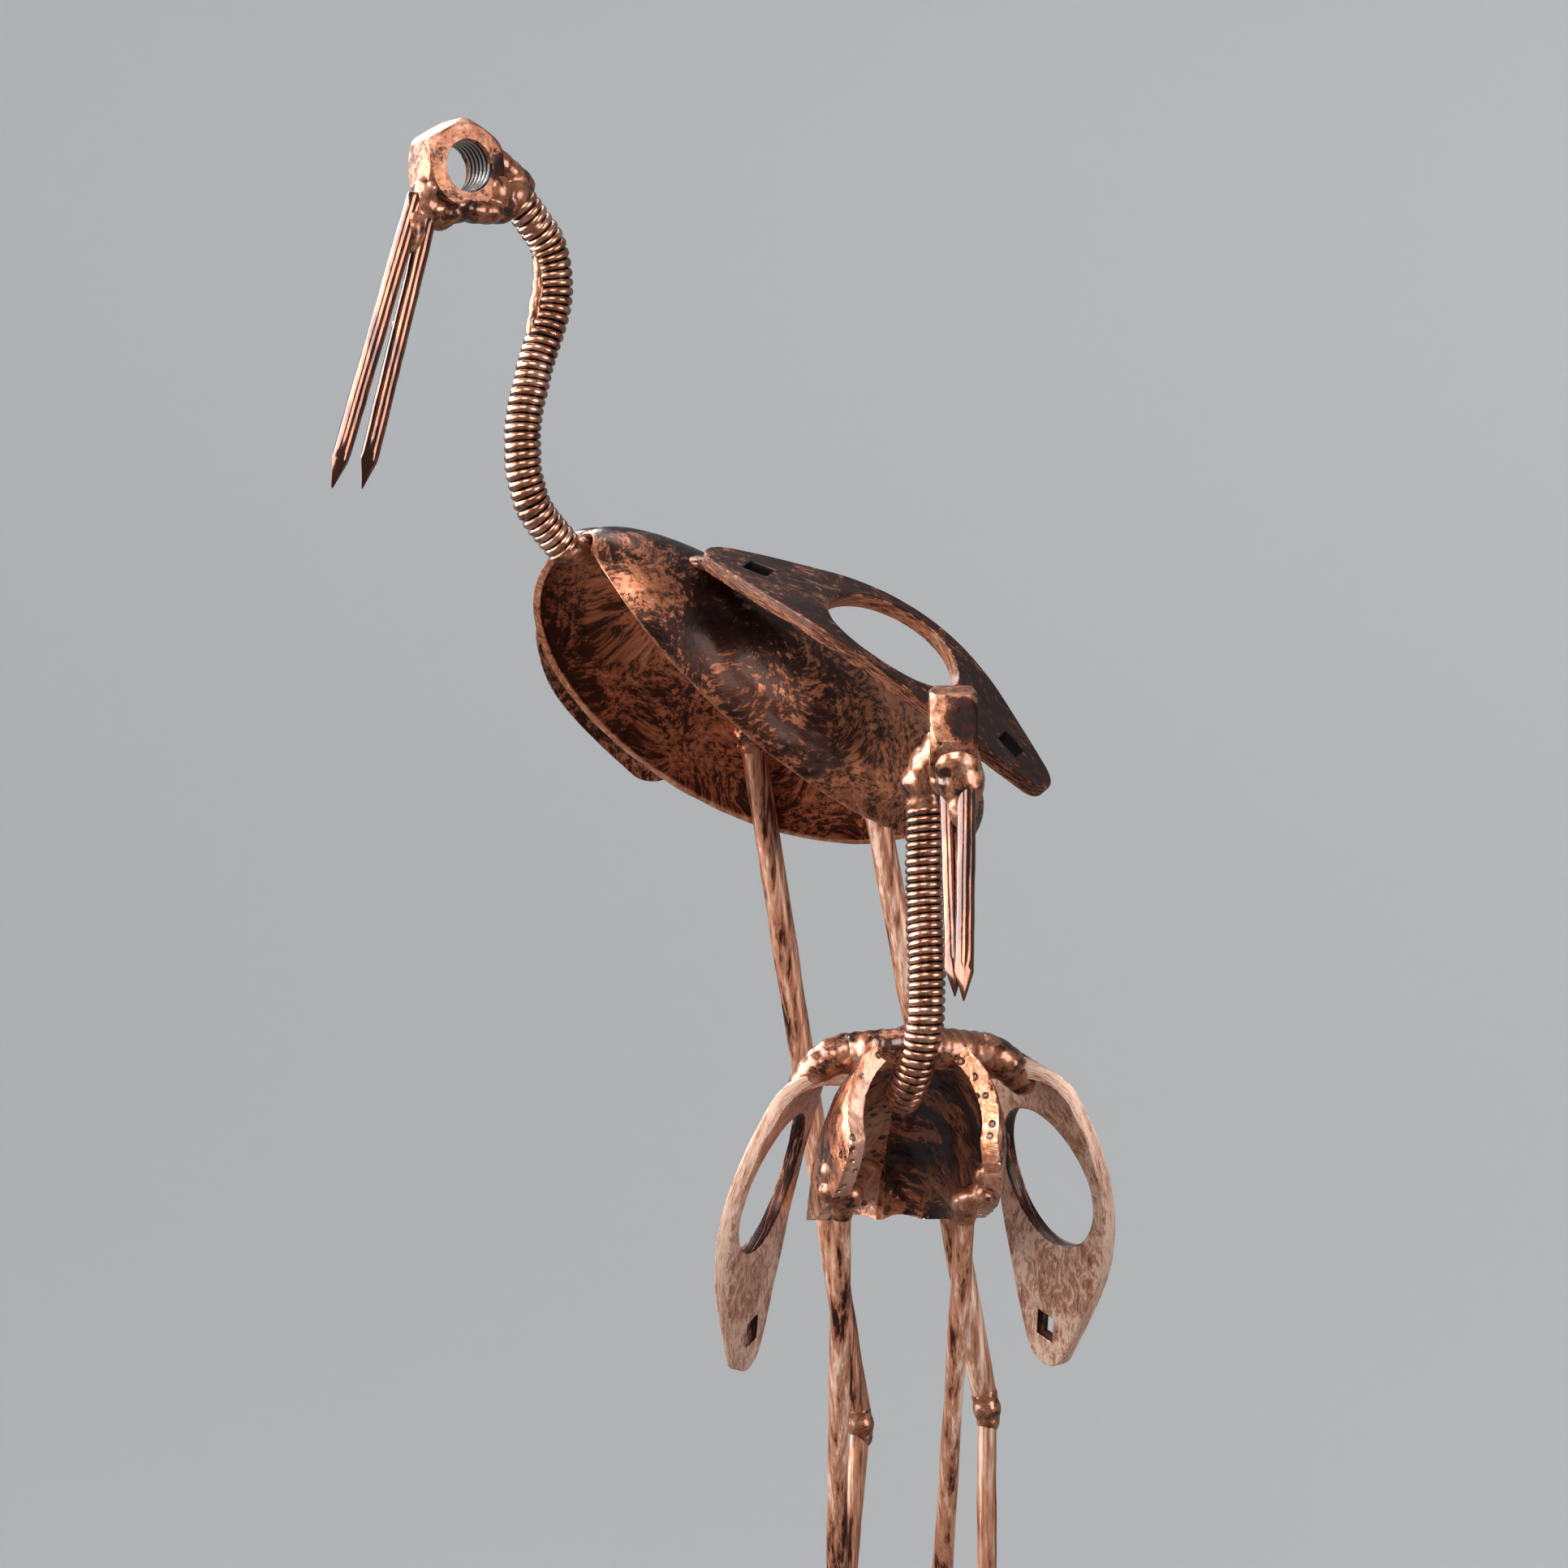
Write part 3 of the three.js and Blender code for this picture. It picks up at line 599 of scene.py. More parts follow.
def weld_paint():
    """Glossy copper over pitted weld metal"""
    return painted("weld copper", 0.18, 0.06, pits=(260, 0.12, 0.3, 3.0), coat=0.9,
                   Stroke_Scale=240, Patch_Scale=90, Cover=0.62, Contrast=0.3, Warp=0.01)


def rod_paint():
    """Pale copper with dark streaks along the rods"""
    return painted("rod copper", 0.2, 0.12, stretch=(1, 1, 0.16), coat=0.15, metal=0.3, Stretch=(1, 1, 0.3),
                   Stroke_Scale=420, Patch_Scale=95, Cover=0.68, Contrast=0.8, Warp=0.003,
                   Copper=(0.43, 0.18, 0.1, 1), Pale=(0.84, 0.58, 0.45, 1))


def wing_paint(crane):
    """Brushed copper, thin on the tall crane's wings, thick and pale on the small one's, where it is partly a
    painted reflection
    """
    shape = crane["wing_shape"]
    return painted(crane["name"].replace("_", " ") + " wing copper", 0.22, 0.12, ("edge", "cover"),
                   uv=True, coat=0.15, metal=0.3, Stretch=(0.35, 1.1, 1), Stroke_Scale=40, Patch_Scale=7,
                   Patches=shape["patches"], Cover=0.5, Contrast=0.6, Warp=0.12,
                   Copper=shape["copper_colour"], Pale=shape["pale_colour"])


def shell_paint():
    """Copper in long strokes over the tall crane's dark shells"""
    return painted("tall shell copper", 0.13, 0.15, ("edge", "cover"), pits=(170, 0.1, 0.14, 1.2),
                   coat=0.1, Stretch=(1, 0.3, 1), Stroke_Scale=380, Patch_Scale=22, Patches=1.0,
                   Cover=0.52, Contrast=0.6, Warp=0.05, **SHELL_COLOURS)


def pitted_shell_paint():
    """Copper over the small crane's rough, pitted shells"""
    return painted("small shell copper", 0.1, 0.9, ("edge", "cover"), pits=(240, 0.6, 0.36, 4.0),
                   coat=0.5, Stretch=(1, 1, 0.4), Stroke_Scale=260, Patch_Scale=48,
                   Cover=0.52, Contrast=0.5, Warp=0.02, **SHELL_COLOURS)


def plate_paint():
    """Black paint with a little copper on the stand plate"""
    return painted("plate black", 0.42, 0.12, Stretch=(1, 0.2, 1),
                   Stroke_Scale=120, Patch_Scale=12, Cover=0.32, Contrast=0.4, Warp=0.04)


# Head nuts, with a real thread in the hole

# The dome rounds the nut's corners. It is a share of the corner's radius and narrows over the
# chamfer's height. The thread is its least and greatest radius. Its faces are those within the hole
# and away from the mouth, and its steel is all bare where it stands out by the bare depth. Towards
# the root the thread is painted dark, as painted shade in its grooves.
NUT = {"dome": 0.965, "chamfer": 2.2, "narrowed": 0.86, "bevel": 0.7, "thread": (8.7, 9.9), "hole": 10,
       "mouth": 0.6, "bare_depth": 1.1, "least_bare": 0.1}


def head_nut(crane, sizes):
    """A hexagon nut with rounded corners and a cut thread, turned to the crane's gaze"""
    flat, thick = sizes.nut_flats / MM / 2, sizes.nut_thickness / MM
    corner = flat / math.cos(math.pi / 6)
    only()
    bpy.ops.mesh.primitive_cylinder_add(vertices=6, radius=corner, depth=thick)
    nut = bpy.context.object
    bpy.ops.mesh.primitive_cylinder_add(
        vertices=96, radius=corner * NUT["dome"], depth=thick - 2 * NUT["chamfer"])
    dome = bpy.context.object
    for way in (1, -1):
        pick(dome, "polygons", lambda face: face.normal.z * way > 0.9)
        bpy.ops.mesh.extrude_region_move(TRANSFORM_OT_translate={"value": (0, 0, NUT["chamfer"] * way)})
        bpy.ops.transform.resize(value=(NUT["narrowed"], NUT["narrowed"], 1))
    only(dome)
    modify(nut, "BOOLEAN", operation="INTERSECT", object=dome, solver="MANIFOLD")
    bpy.data.objects.remove(dome)
    modify(nut, "BEVEL", width=NUT["bevel"], segments=3, limit_method="ANGLE", angle_limit=math.radians(25))
    pitch = sizes.thread_pitch / MM
    cutter = threaded_bar(*NUT["thread"], pitch, thick + 6 * pitch)
    modify(nut, "BOOLEAN", operation="DIFFERENCE", object=cutter, solver="MANIFOLD")
    bpy.data.objects.remove(cutter)
    mark_thread(nut, thick)
    head = crane["head"]
    put(nut, Matrix.Translation(head["at"]) @ Matrix.Rotation(math.radians(head["yaw"]), 4, "Z")
        @ Matrix.Rotation(math.radians(-head["pitch"]), 4, "Y") @ Matrix.Rotation(math.pi / 2, 4, "X"))
    return nut


def mark_thread(nut, thick):
    """Stores at the corners of the thread's faces how bare their steel is, which also sets the painted shade
    at the roots
    """
    bare = nut.data.attributes.new("bare", "FLOAT", "CORNER")
    for face in nut.data.polygons:
        reaches = [nut.data.vertices[i].co.xy.length for i in face.vertices]
        if max(reaches) < NUT["hole"] and abs(face.center.z) < thick / 2 - NUT["mouth"]:
            for loop, reach in zip(face.loop_indices, reaches):
                share = max(0.0, min(1.0, (NUT["thread"][1] - reach) / NUT["bare_depth"]))
                bare.data[loop].value = NUT["least_bare"] + (1 - NUT["least_bare"]) * share


def close_ends(piece):
    """Fills the open ends of a piece in edit mode and turns its faces outwards"""
    bpy.ops.mesh.select_all(action="DESELECT")
    bpy.context.tool_settings.mesh_select_mode = (True, False, False)
    bpy.ops.mesh.select_non_manifold()
    bpy.ops.mesh.fill_holes(sides=0)
    bpy.ops.mesh.select_all(action="SELECT")
    bpy.ops.mesh.normals_make_consistent(inside=False)
    only(piece)


def threaded_bar(minor, major, pitch, length):
    """A bar with a screw thread, used to cut the hole of a nut"""
    only()
    bpy.ops.mesh.primitive_circle_add(vertices=3, radius=1, fill_type="NOTHING")
    bar = bpy.context.object
    for corner, (out, rise) in zip(bar.data.vertices, ((0, 0), (1, 0.5), (0, 1))):
        corner.co = (minor + (major - minor) * out, 0, pitch * rise - length / 2)
    pick(bar, "edges", lambda edge: set(edge.vertices) == {0, 2})
    bpy.ops.mesh.delete(type="EDGE")
    modify(bar, "SCREW", axis="Z", angle=2 * math.pi, screw_offset=pitch, steps=48, render_steps=48,
           iterations=round(length / pitch), use_merge_vertices=True, merge_threshold=0.01)
    only(bar)
    bpy.ops.object.mode_set(mode="EDIT")
    bpy.ops.mesh.select_all(action="SELECT")
    bpy.ops.mesh.remove_doubles(threshold=0.01)
    close_ends(bar)
    return bar


class STATUE_OT_head_nuts(bpy.types.Operator):
    """Make the two hexagon nuts that are the cranes' heads"""
    bl_idname = "statue.head_nuts"
    bl_label = "Head nuts"

    def execute(self, context):
        for crane in CRANES:
            nut = head_nut(crane, context.scene.crane_sizes)
            deliver(nut, crane, "head_nut", nut_lacquer(crane), 30)
        return {"FINISHED"}


# Neck springs

# The turns are a little further apart than the wire is thick, and the wire is made a little fuller,
# so that the turns meet. The sway is how far a turn strays from its place, and the seed keeps it the
# same on every run, where the noise would take one from the clock.
COIL = {"sides": 12, "steps": 28, "apart": 1.01, "fuller": 1.03, "sway": 0.35, "sway_pace": 0.14,
        "sway_row": 3.1, "seed": 7}


def neck_path(points, count=90):
    """Points along a smooth curve through the neck's points"""
    points = [Vector(point) for point in points]
    ends = [2 * points[0] - points[1]] + points + [2 * points[-1] - points[-2]]
    path = []
    for i in range(count + 1):
        place = (len(points) - 1) * i / count
        part = min(int(place), len(points) - 2)
        t = place - part
        a, b, c, d = ends[part:part + 4]
        first, middle, last = ((b - a).length ** 0.5, (c - b).length ** 0.5, (d - c).length ** 0.5)
        leave = ((b - a) / first - (c - a) / (first + middle) + (c - b) / middle) * middle
        reach = ((c - b) / middle - (d - b) / (middle + last) + (d - c) / last) * middle
        path.append(b + leave * t + (3 * (c - b) - 2 * leave - reach) * t * t
                    + (2 * (b - c) + leave + reach) * t ** 3)
    return path


def straight_coil(outer, wire, pitch, turns):
    """A coil wound straight up, with the depth of its grooves stored and its coils a little astray"""
    only()
    bpy.ops.mesh.primitive_circle_add(vertices=COIL["sides"], radius=wire * COIL["fuller"],
                                      location=(outer - wire, 0, 0), rotation=(math.pi / 2, 0, 0))
    coil = bpy.context.object
    bpy.ops.object.transform_apply()
    modify(coil, "SCREW", axis="Z", angle=2 * math.pi, screw_offset=pitch, steps=COIL["steps"],
           render_steps=COIL["steps"], iterations=turns, use_merge_vertices=False)
    only(coil)
    bpy.ops.object.mode_set(mode="EDIT")
    close_ends(coil)
    groove = coil.data.attributes.new("groove", "FLOAT", "POINT")
    noise.seed_set(COIL["seed"])
    for point, value in zip(coil.data.vertices, groove.data):
        value.value = (outer - math.hypot(point.co.x, point.co.y)) / wire
        sway = noise.noise_vector((0, COIL["sway_row"], point.co.z * COIL["sway_pace"])) * COIL["sway"]
        point.co += Vector((sway.x, sway.y, sway.z))
    return coil


def neck_spring(crane, sizes):
    """A close-wound coil, wound straight and then bent along the neck"""
    path = neck_path(crane["neck"])
    length = sum((b - a).length for a, b in zip(path, path[1:]))
    pitch = crane["wire"] * COIL["apart"]
    coil = straight_coil(sizes.spring_width / MM / 2, crane["wire"] / 2, pitch, round(length / pitch))
    curve = bpy.data.curves.new("neck line", "CURVE")
    curve.dimensions = "3D"
    curve.twist_mode = "MINIMUM"
    line = curve.splines.new("POLY")
    line.points.add(len(path) - 1)
    for point, place in zip(line.points, path):
        point.co = (*place, 1)
    guide = bpy.data.objects.new("neck line", curve)
    bpy.context.collection.objects.link(guide)
    modify(coil, "CURVE", object=guide, deform_axis="POS_Z")
    bpy.data.objects.remove(guide)
    return coil


class STATUE_OT_neck_springs(bpy.types.Operator):
    """Wind the two coil springs that are the cranes' necks"""
    bl_idname = "statue.neck_springs"
    bl_label = "Neck springs"

    def execute(self, context):
        for crane in CRANES:
            coil = neck_spring(crane, context.scene.crane_sizes)
            deliver(coil, crane, "neck_spring", spring_paint(), 60)
        return {"FINISHED"}


# Beak nails

# The rod is longer than the nail by the spare, which the flats of the point cut off. The burr is a
# drip of weld on the tall crane's lower nail, given as a centre and a size.
NAIL = {"sides": 24, "step": 5, "point": 15, "spare": 0.5, "bevel": 0.3}
NAIL_BURR = ((235.5, -2.4, 588), (1.5, 1.8, 2.4))


def beak_nail(root, tip, radius):
    """A round nail, its end pinched by four flats to a point"""
    root, tip = Vector(root), Vector(tip)
    length = (tip - root).length
    nail = rod((0, 0, 0), (0, 0, length + NAIL["spare"]), radius, NAIL["sides"], NAIL["step"])
    for k in range(4):
        turn = math.pi / 4 + k * math.pi / 2
        side = Vector((math.cos(turn), math.sin(turn), 0))
        slant = (side * NAIL["point"] + Vector((0, 0, radius))).normalized()
        pick(nail, "polygons", whole)
        bpy.ops.mesh.bisect(plane_co=(0, 0, length), plane_no=slant, clear_outer=True, use_fill=True)
    only(nail)
    modify(nail, "BEVEL", width=NAIL["bevel"], segments=2, limit_method="ANGLE", angle_limit=math.radians(50))
    turned = (tip - root).to_track_quat("Z", "Y").to_matrix().to_4x4()
    put(nail, Matrix.Translation(root) @ turned)
    roughen(nail, 7, 0.5)
    return nail


class STATUE_OT_beak_nails(bpy.types.Operator):
    """Make the four nails of the two beaks"""
    bl_idname = "statue.beak_nails"
    bl_label = "Beak nails"

    def execute(self, context):
        radius = context.scene.crane_sizes.nail_thickness / MM / 2
        for crane in CRANES:
            for part in ("upper", "lower"):
                nail = beak_nail(*crane[part + "_nail"], radius)
                if crane is TALL and part == "lower":
                    nail = merge([nail, ball(*NAIL_BURR)])
                deliver(nail, crane, part + "_beak_nail", nail_lacquer(), 40)
        return {"FINISHED"}


# Weld beads, given as a centre and a size

WELD_LUMPS = 0.5
BEAK_WELD_LUMPS = 0.9
WELDS = {
    ("tall_crane", "crest_weld"): [
        ((199, 0, 649.5), (5, 6, 5)), ((195, 0, 646.9), (5, 6, 5)), ((191, 0, 644.2), (5, 5.6, 5)),
        ((187, 0, 641.5), (5, 5, 5)), ((184, 0, 640.2), (3.6, 3.6, 3.6)), ((182.6, 0, 641), (2.2, 2.4, 2.2)),
        ((190, 0, 636), (7, 7, 6.5)), ((197, 0, 632), (8, 7, 6)), ((185.5, 0, 634), (5.5, 6, 5)),
        ((197, 2, 630), (7, 6, 4.5)), ((182, 2, 627), (4, 4, 5)), ((199, 5.5, 637), (5, 4.5, 6)),
        ((202, 3, 629.5), (6, 7, 4.6)), ((207, 3, 629.5), (6, 7, 4.6)), ((212, 3, 629.8), (6, 7, 4.2)),
        ((179, 0, 620), (2.2, 3.2, 6)), ((178.2, -0.5, 612), (2.2, 3, 6)), ((178.6, -0.5, 604), (2.2, 3, 6)),
        ((179.8, -0.5, 597), (2.2, 2.8, 6)), ((181.4, -0.5, 590), (2, 2.4, 5)),
    ],
    ("tall_crane", "beak_weld"): [
        ((225, 0, 631), (5.5, 5.5, 6)), ((220, 0, 627), (6, 6, 5)), ((230, 0, 622), (4.5, 4.6, 9)),
        ((214, 1, 629), (7, 7, 4.4)), ((219, 1, 628), (6, 7, 5)), ((226, 2, 636), (4, 6, 5)),
    ],
    ("tall_crane", "neck_root_weld"): [
        ((166, 0, 512), (8, 7, 5)), ((158, 0, 514), (9, 6, 4.5)), ((150, 0, 515), (8, 4, 3)),
    ],
    ("small_crane", "crest_weld"): [
        ((46, 0.8, 430.5), (8.5, 7.6, 6.5)), ((49, 3, 436), (9, 7, 8)), ((52, 5.5, 441), (8, 5.5, 8)),
        ((46, 2, 424), (6.6, 6.8, 6)),
    ],
    ("small_crane", "beak_weld"): [
        ((67, 10, 437.5), (9, 8.6, 8)), ((67, 11.5, 431), (8, 8.4, 9)), ((69, 12, 423), (5, 5.4, 9)),
        ((60, 8, 431.5), (8, 6.5, 6)),
    ],
    ("small_crane", "neck_root_weld"): [
        ((46 - 0.02 * y * y, y, 340 - 0.004 * y * y), (7, 6, 7.4)) for y in range(-24, 25, 4)],
}
SHOULDERS = {
    "tall_crane": [((127, 26, 507), (8, 6, 4)), ((121, 30, 506), (6, 5, 3.6)), ((133, 22, 507.5), (4, 4, 3))],
    "small_crane": [((36, 24, 338), (8, 7, 7)), ((35, 28, 336.5), (9, 7, 7)), ((34, 32, 334), (9, 6.5, 6.5)),
                    ((32, 35, 331), (8, 6, 6)), ((30, 38, 327.5), (7, 5, 5))],
}


def leg_welds(crane, side):
    """Where the beads of a knee and a hip sit, a little wider than the rods they hold"""
    hip, knee, _ = (Vector(point) for point in crane["legs"][side])
    up = (hip - knee).normalized()
    wide, thin = crane["leg_radii"]
    knee_beads = [(knee, (wide * 1.2, wide * 1.15, 5.6)), (knee + up * 5, (wide * 1.08, wide * 1.1, 5)),
                  (knee - Vector((0.6, 0, 5)), (thin * 1.25, thin * 1.2, 4.5))]
    hip_beads = [(hip, (wide * 1.6, wide * 1.35, 6)), (hip - up * 5, (wide * 1.2, wide * 1.2, 5))]
    out = 1 if side == "left" else -1
    hip_beads += [(hip + Vector((x, out * y, z)), size) for (x, y, z), size in crane["hip_lumps"]]
    return {"knee_weld": knee_beads, "hip_weld": hip_beads}


class STATUE_OT_weld_beads(bpy.types.Operator):
    """Run the weld beads that hold the pieces of both cranes together"""
    bl_idname = "statue.weld_beads"
    bl_label = "Weld beads"

    def execute(self, context):
        for crane in CRANES:
            runs = {part: beads for (name, part), beads in WELDS.items() if name == crane["name"]}
            for side, sign in SIDES:
                runs[side + "_shoulder_weld"] = [
                    ((x, sign * y, z), size) for (x, y, z), size in SHOULDERS[crane["name"]]]
                for part, beads in leg_welds(crane, side).items():
                    runs[f"{side}_{part}"] = beads
            for part, beads in runs.items():
                lumps = BEAK_WELD_LUMPS if part == "beak_weld" else WELD_LUMPS
                bead = fuse([ball(centre, size) for centre, size in beads], lumps=lumps)
                deliver(bead, crane, part, weld_paint(), 60)
        return {"FINISHED"}


# Body shells

TAIL_END = math.pi - 0.1
SHELL_GRID = (64, 30)
RIDGE_REACH = 0.3
RIDGE_BAND, TAIL_BAND = 60, 90


def swell(shape, angle):
    """How far the body swells at an angle, which runs from 0 at the breast to half a turn at the tail"""
    size, lead, blunt = shape
    return size * math.sin(math.pi * (angle / math.pi) ** lead) ** blunt


def shell_point(body, side, angle, arc):
    """A point of the outer face: angle runs from breast to tail, arc from ridge to free rim"""
    slope = math.radians(body["slope"])
    along = body["length"] * (1 - math.cos(angle)) / 2
    ridge = Vector((-swell(body["ridge"], angle), 0))
    rim = Vector((swell(body["drop"], angle), swell(body["spread"], angle)))
    chord = rim - ridge
    length = chord.length
    sag = body["bulge"] * length / math.hypot(body["ridge"][0] + body["drop"][0], body["spread"][0])
    radius = (length * length / 4 + sag * sag) / (2 * sag)
    half = math.asin(min(1, length / (2 * radius)))
    turn = half * (2 * arc - 1)
    unit = chord.normalized()
    outward = Vector((-unit.y, unit.x))
    flat = (ridge + rim) / 2 + unit * radius * math.sin(turn)
    flat += outward * radius * (math.cos(turn) - math.cos(half))
    flat.x += body["droop"] * (along / body["length"]) ** 2
    return Vector((body["front"][0] - along * math.cos(slope) + flat.x * math.sin(slope),
                   side * (flat.y + GAP / 2),
                   body["front"][1] - along * math.sin(slope) - flat.x * math.cos(slope)))


def shell_place(body, side, u, v):
    """The outer face again, with u from 0 at the breast to 1 at the tail"""
    return shell_point(body, side, body["breast"] + (TAIL_END - body["breast"]) * u, v)


def body_shell(crane, side):
    """A grid bent to one half of the body, then thickened inwards with a heavier rim"""
    body = crane["body"]
    only()
    bpy.ops.mesh.primitive_grid_add(x_subdivisions=SHELL_GRID[0], y_subdivisions=SHELL_GRID[1], size=2)
    shell = bpy.context.object
    rim = shell.vertex_groups.new(name="rim")
    rims, ends = body["lip_band"]
    for point in shell.data.vertices:
        u, v = (point.co.x + 1) / 2, (point.co.y + 1) / 2
        point.co = shell_place(body, side, u, v)
        near = 1 - (1 - v) * rims
        if ends:
            near = max(near, 1 - u * ends)
        rim.add([point.index], max(0.0, near), "REPLACE")
    middle = sum((point.co for point in shell.data.vertices), Vector()) / len(shell.data.vertices)
    face = shell.data.polygons[len(shell.data.polygons) // 2]
    if (face.center - middle).dot(face.normal) < 0:
        pick(shell, "polygons", whole)
        bpy.ops.mesh.flip_normals()
    wall, lip = body["wall"], body["wall"] * body["lip"]
    modify(shell, "SOLIDIFY", thickness=lip, offset=-1, vertex_group="rim", thickness_vertex_group=wall / lip)
    for point in shell.data.vertices:
        reach = side * point.co.y
        point.co.y = side * (body["seam"] if reach < RIDGE_REACH else max(reach, body["seam"]))
    modify(shell, "BEVEL", width=body["round"], segments=2, limit_method="ANGLE",
           angle_limit=math.radians(50))
    modify(shell, "SUBSURF", levels=1, render_levels=1)
    mark_shell(shell, body, side)
    for size, strength in body["lumps"]:
        roughen(shell, size, strength)
    if body["cut"]:
        pick(shell, "polygons", whole)
        height, slant = body["cut"]
        bpy.ops.mesh.bisect(plane_co=(0, 0, height), plane_no=(slant, 0, 1), clear_inner=True, use_fill=True)
        only(shell)
    return shell


def mark_shell(shell, body, side):
    """Stores how near each point is to a cut edge, and how thickly the copper lies there, with painted shade
    under the wings
    """
    coordinates = shell.data.uv_layers.active.data
    places = [None] * len(shell.data.vertices)
    for loop in shell.data.loops:
        places[loop.vertex_index] = coordinates[loop.index].uv
    edge = shell.data.attributes.new("edge", "FLOAT", "POINT")
    cover = shell.data.attributes.new("cover", "FLOAT", "POINT")
    rims, ends = body["rubbed_band"]
    for i, (point, (u, v)) in enumerate(zip(shell.data.vertices, places)):
        rubbed = (1 - (1 - v) * rims, 1 - v * RIDGE_BAND, 1 - u * ends, 1 - (1 - u) * TAIL_BAND)
        edge.data[i].value = max(0.0, *rubbed)
        depth = (point.co - shell_place(body, side, u, v)).length / body["wall"]
        # On the outer face, less copper towards the ridge is partly painted shade under the wings
        base, tail, rim, left = body["inner_copper" if depth > 0.5 else "outer_copper"]
        cover.data[i].value = base + tail * u + rim * v + left * side


class STATUE_OT_body_shells(bpy.types.Operator):
    """Form the four shells of the two bodies"""
    bl_idname = "statue.body_shells"
    bl_label = "Body shells"

    def execute(self, context):
        for crane in CRANES:
            paint = shell_paint() if crane is TALL else pitted_shell_paint()
            for side, sign in SIDES:
                shell = body_shell(crane, sign)
                deliver(shell, crane, side + "_body_shell", paint, 40)
        return {"FINISHED"}


# Wing plates

# The ends are arcs, and the long sides are curves whose handles are shares of the length and of
# the width. A square hole sits near the root and another near the tip. The paint's pattern repeats
# nowhere: its unit is so many millimetres, and the underside has its own part of it. The cuts that
# let the plate bend are a way, a count to each side, a step and an offset.
WING = {"end_radius": 12, "end_lean": 0.42, "near": 0.36, "far": 0.62, "far_width": 0.78,
        "root_inset": 20, "square": 4.5, "square_reach": 4.9, "rim_reach": 0.4, "soft": 0.45,
        "rubbed_width": 1.1, "bowed": 38, "pattern_unit": 66, "underside": 0.5}
WING_CUTS = (((1, 0, 0), 36, 2.1, 0.37), ((0, 1, 0), 11, 3, 0.41))


def bezier(a, b, c, d, count=16):
    """Points along a curve from a to d, without d itself"""
    a, b, c, d = (Vector(point) for point in (a, b, c, d))
    places = []
    for i in range(count):
        t = i / count
        places.append(a * (1 - t) ** 3 + 3 * b * t * (1 - t) ** 2 + 3 * c * t * t * (1 - t) + d * t ** 3)
    return places


def arc(centre, radius, start, end, count):
    """Points along an arc about a centre on the long axis, without the last one"""
    return [Vector((centre + radius * math.cos(start + (end - start) * i / count),
                    radius * math.sin(start + (end - start) * i / count))) for i in range(count)]


def square_holes(sizes, tip_inset):
    """Where the two square holes have their middles on the long axis"""
    half = sizes.wing_length / MM / 2
    return WING["root_inset"] - half, half - tip_inset


def wing_outlines(sizes, tip_inset):
    """The flat plate's outline and its three holes"""
    half, bow = sizes.wing_length / MM / 2, sizes.wing_width / MM / 2
    end, lean, square = WING["end_radius"], WING["end_lean"], WING["square"]
    centre = half - end
    x, y = centre + end * math.sin(lean), end * math.cos(lean)
    near, far, shoulder = centre * WING["near"], centre * WING["far"], bow * WING["far_width"]
    side = [(-x, -y), (-far, -shoulder), (-near, -bow), (0, -bow), (near, -bow), (far, -shoulder), (x, -y)]
    outer = bezier(*side[:4]) + bezier(*side[3:])
    outer += arc(centre, end, lean - math.pi / 2, math.pi / 2 - lean, 14)
    side = [(-a, -b) for a, b in side]
    outer += bezier(*side[:4]) + bezier(*side[3:])
    outer += arc(-centre, end, math.pi / 2 + lean, 1.5 * math.pi - lean, 14)
    outlines = [outer, arc(0, sizes.wing_hole / MM / 2, 0, -2 * math.pi, 80)]
    for middle in square_holes(sizes, tip_inset):
        corners = ((-1, -1), (-1, 1), (1, 1), (1, -1))
        outlines.append([Vector((middle + a * square, b * square)) for a, b in corners])
    return outlines


def flat_wing(sizes, shape):
    """A flat plate with softened edges, cut into small squares so that it bends smoothly"""
    outlines = wing_outlines(sizes, shape["tip_inset"])
    thick, soft = sizes.wing_thickness / MM, WING["soft"]
    only()
    bpy.ops.curve.primitive_bezier_circle_add()
    drawing = bpy.context.object
    curve = drawing.data
    curve.splines.clear()
    for outline in outlines:
        line = curve.splines.new("POLY")
        line.points.add(len(outline) - 1)
        for point, place in zip(line.points, outline):
            point.co = (place.x, place.y, 0, 1)
        line.use_cyclic_u = True
    curve.dimensions = "2D"
    curve.fill_mode = "BOTH"
    curve.extrude = thick / 2 - soft
    curve.bevel_depth = soft
    curve.bevel_resolution = 1
    curve.offset = -soft
    only(drawing)
    bpy.ops.object.convert(target="MESH")
    plate = bpy.context.object
    pick(plate, "polygons", whole)
    bpy.ops.mesh.remove_doubles(threshold=0.02)
    for way, count, step, offset in WING_CUTS:
        for i in range(-count, count + 1):
            bpy.ops.mesh.select_all(action="SELECT")
            bpy.ops.mesh.bisect(plane_co=Vector(way) * (i * step + offset), plane_no=way)
    bpy.ops.mesh.select_all(action="SELECT")
    bpy.ops.mesh.normals_make_consistent(inside=False)
    only(plate)
    mark_wing(plate, outlines, sizes, shape)
    return plate


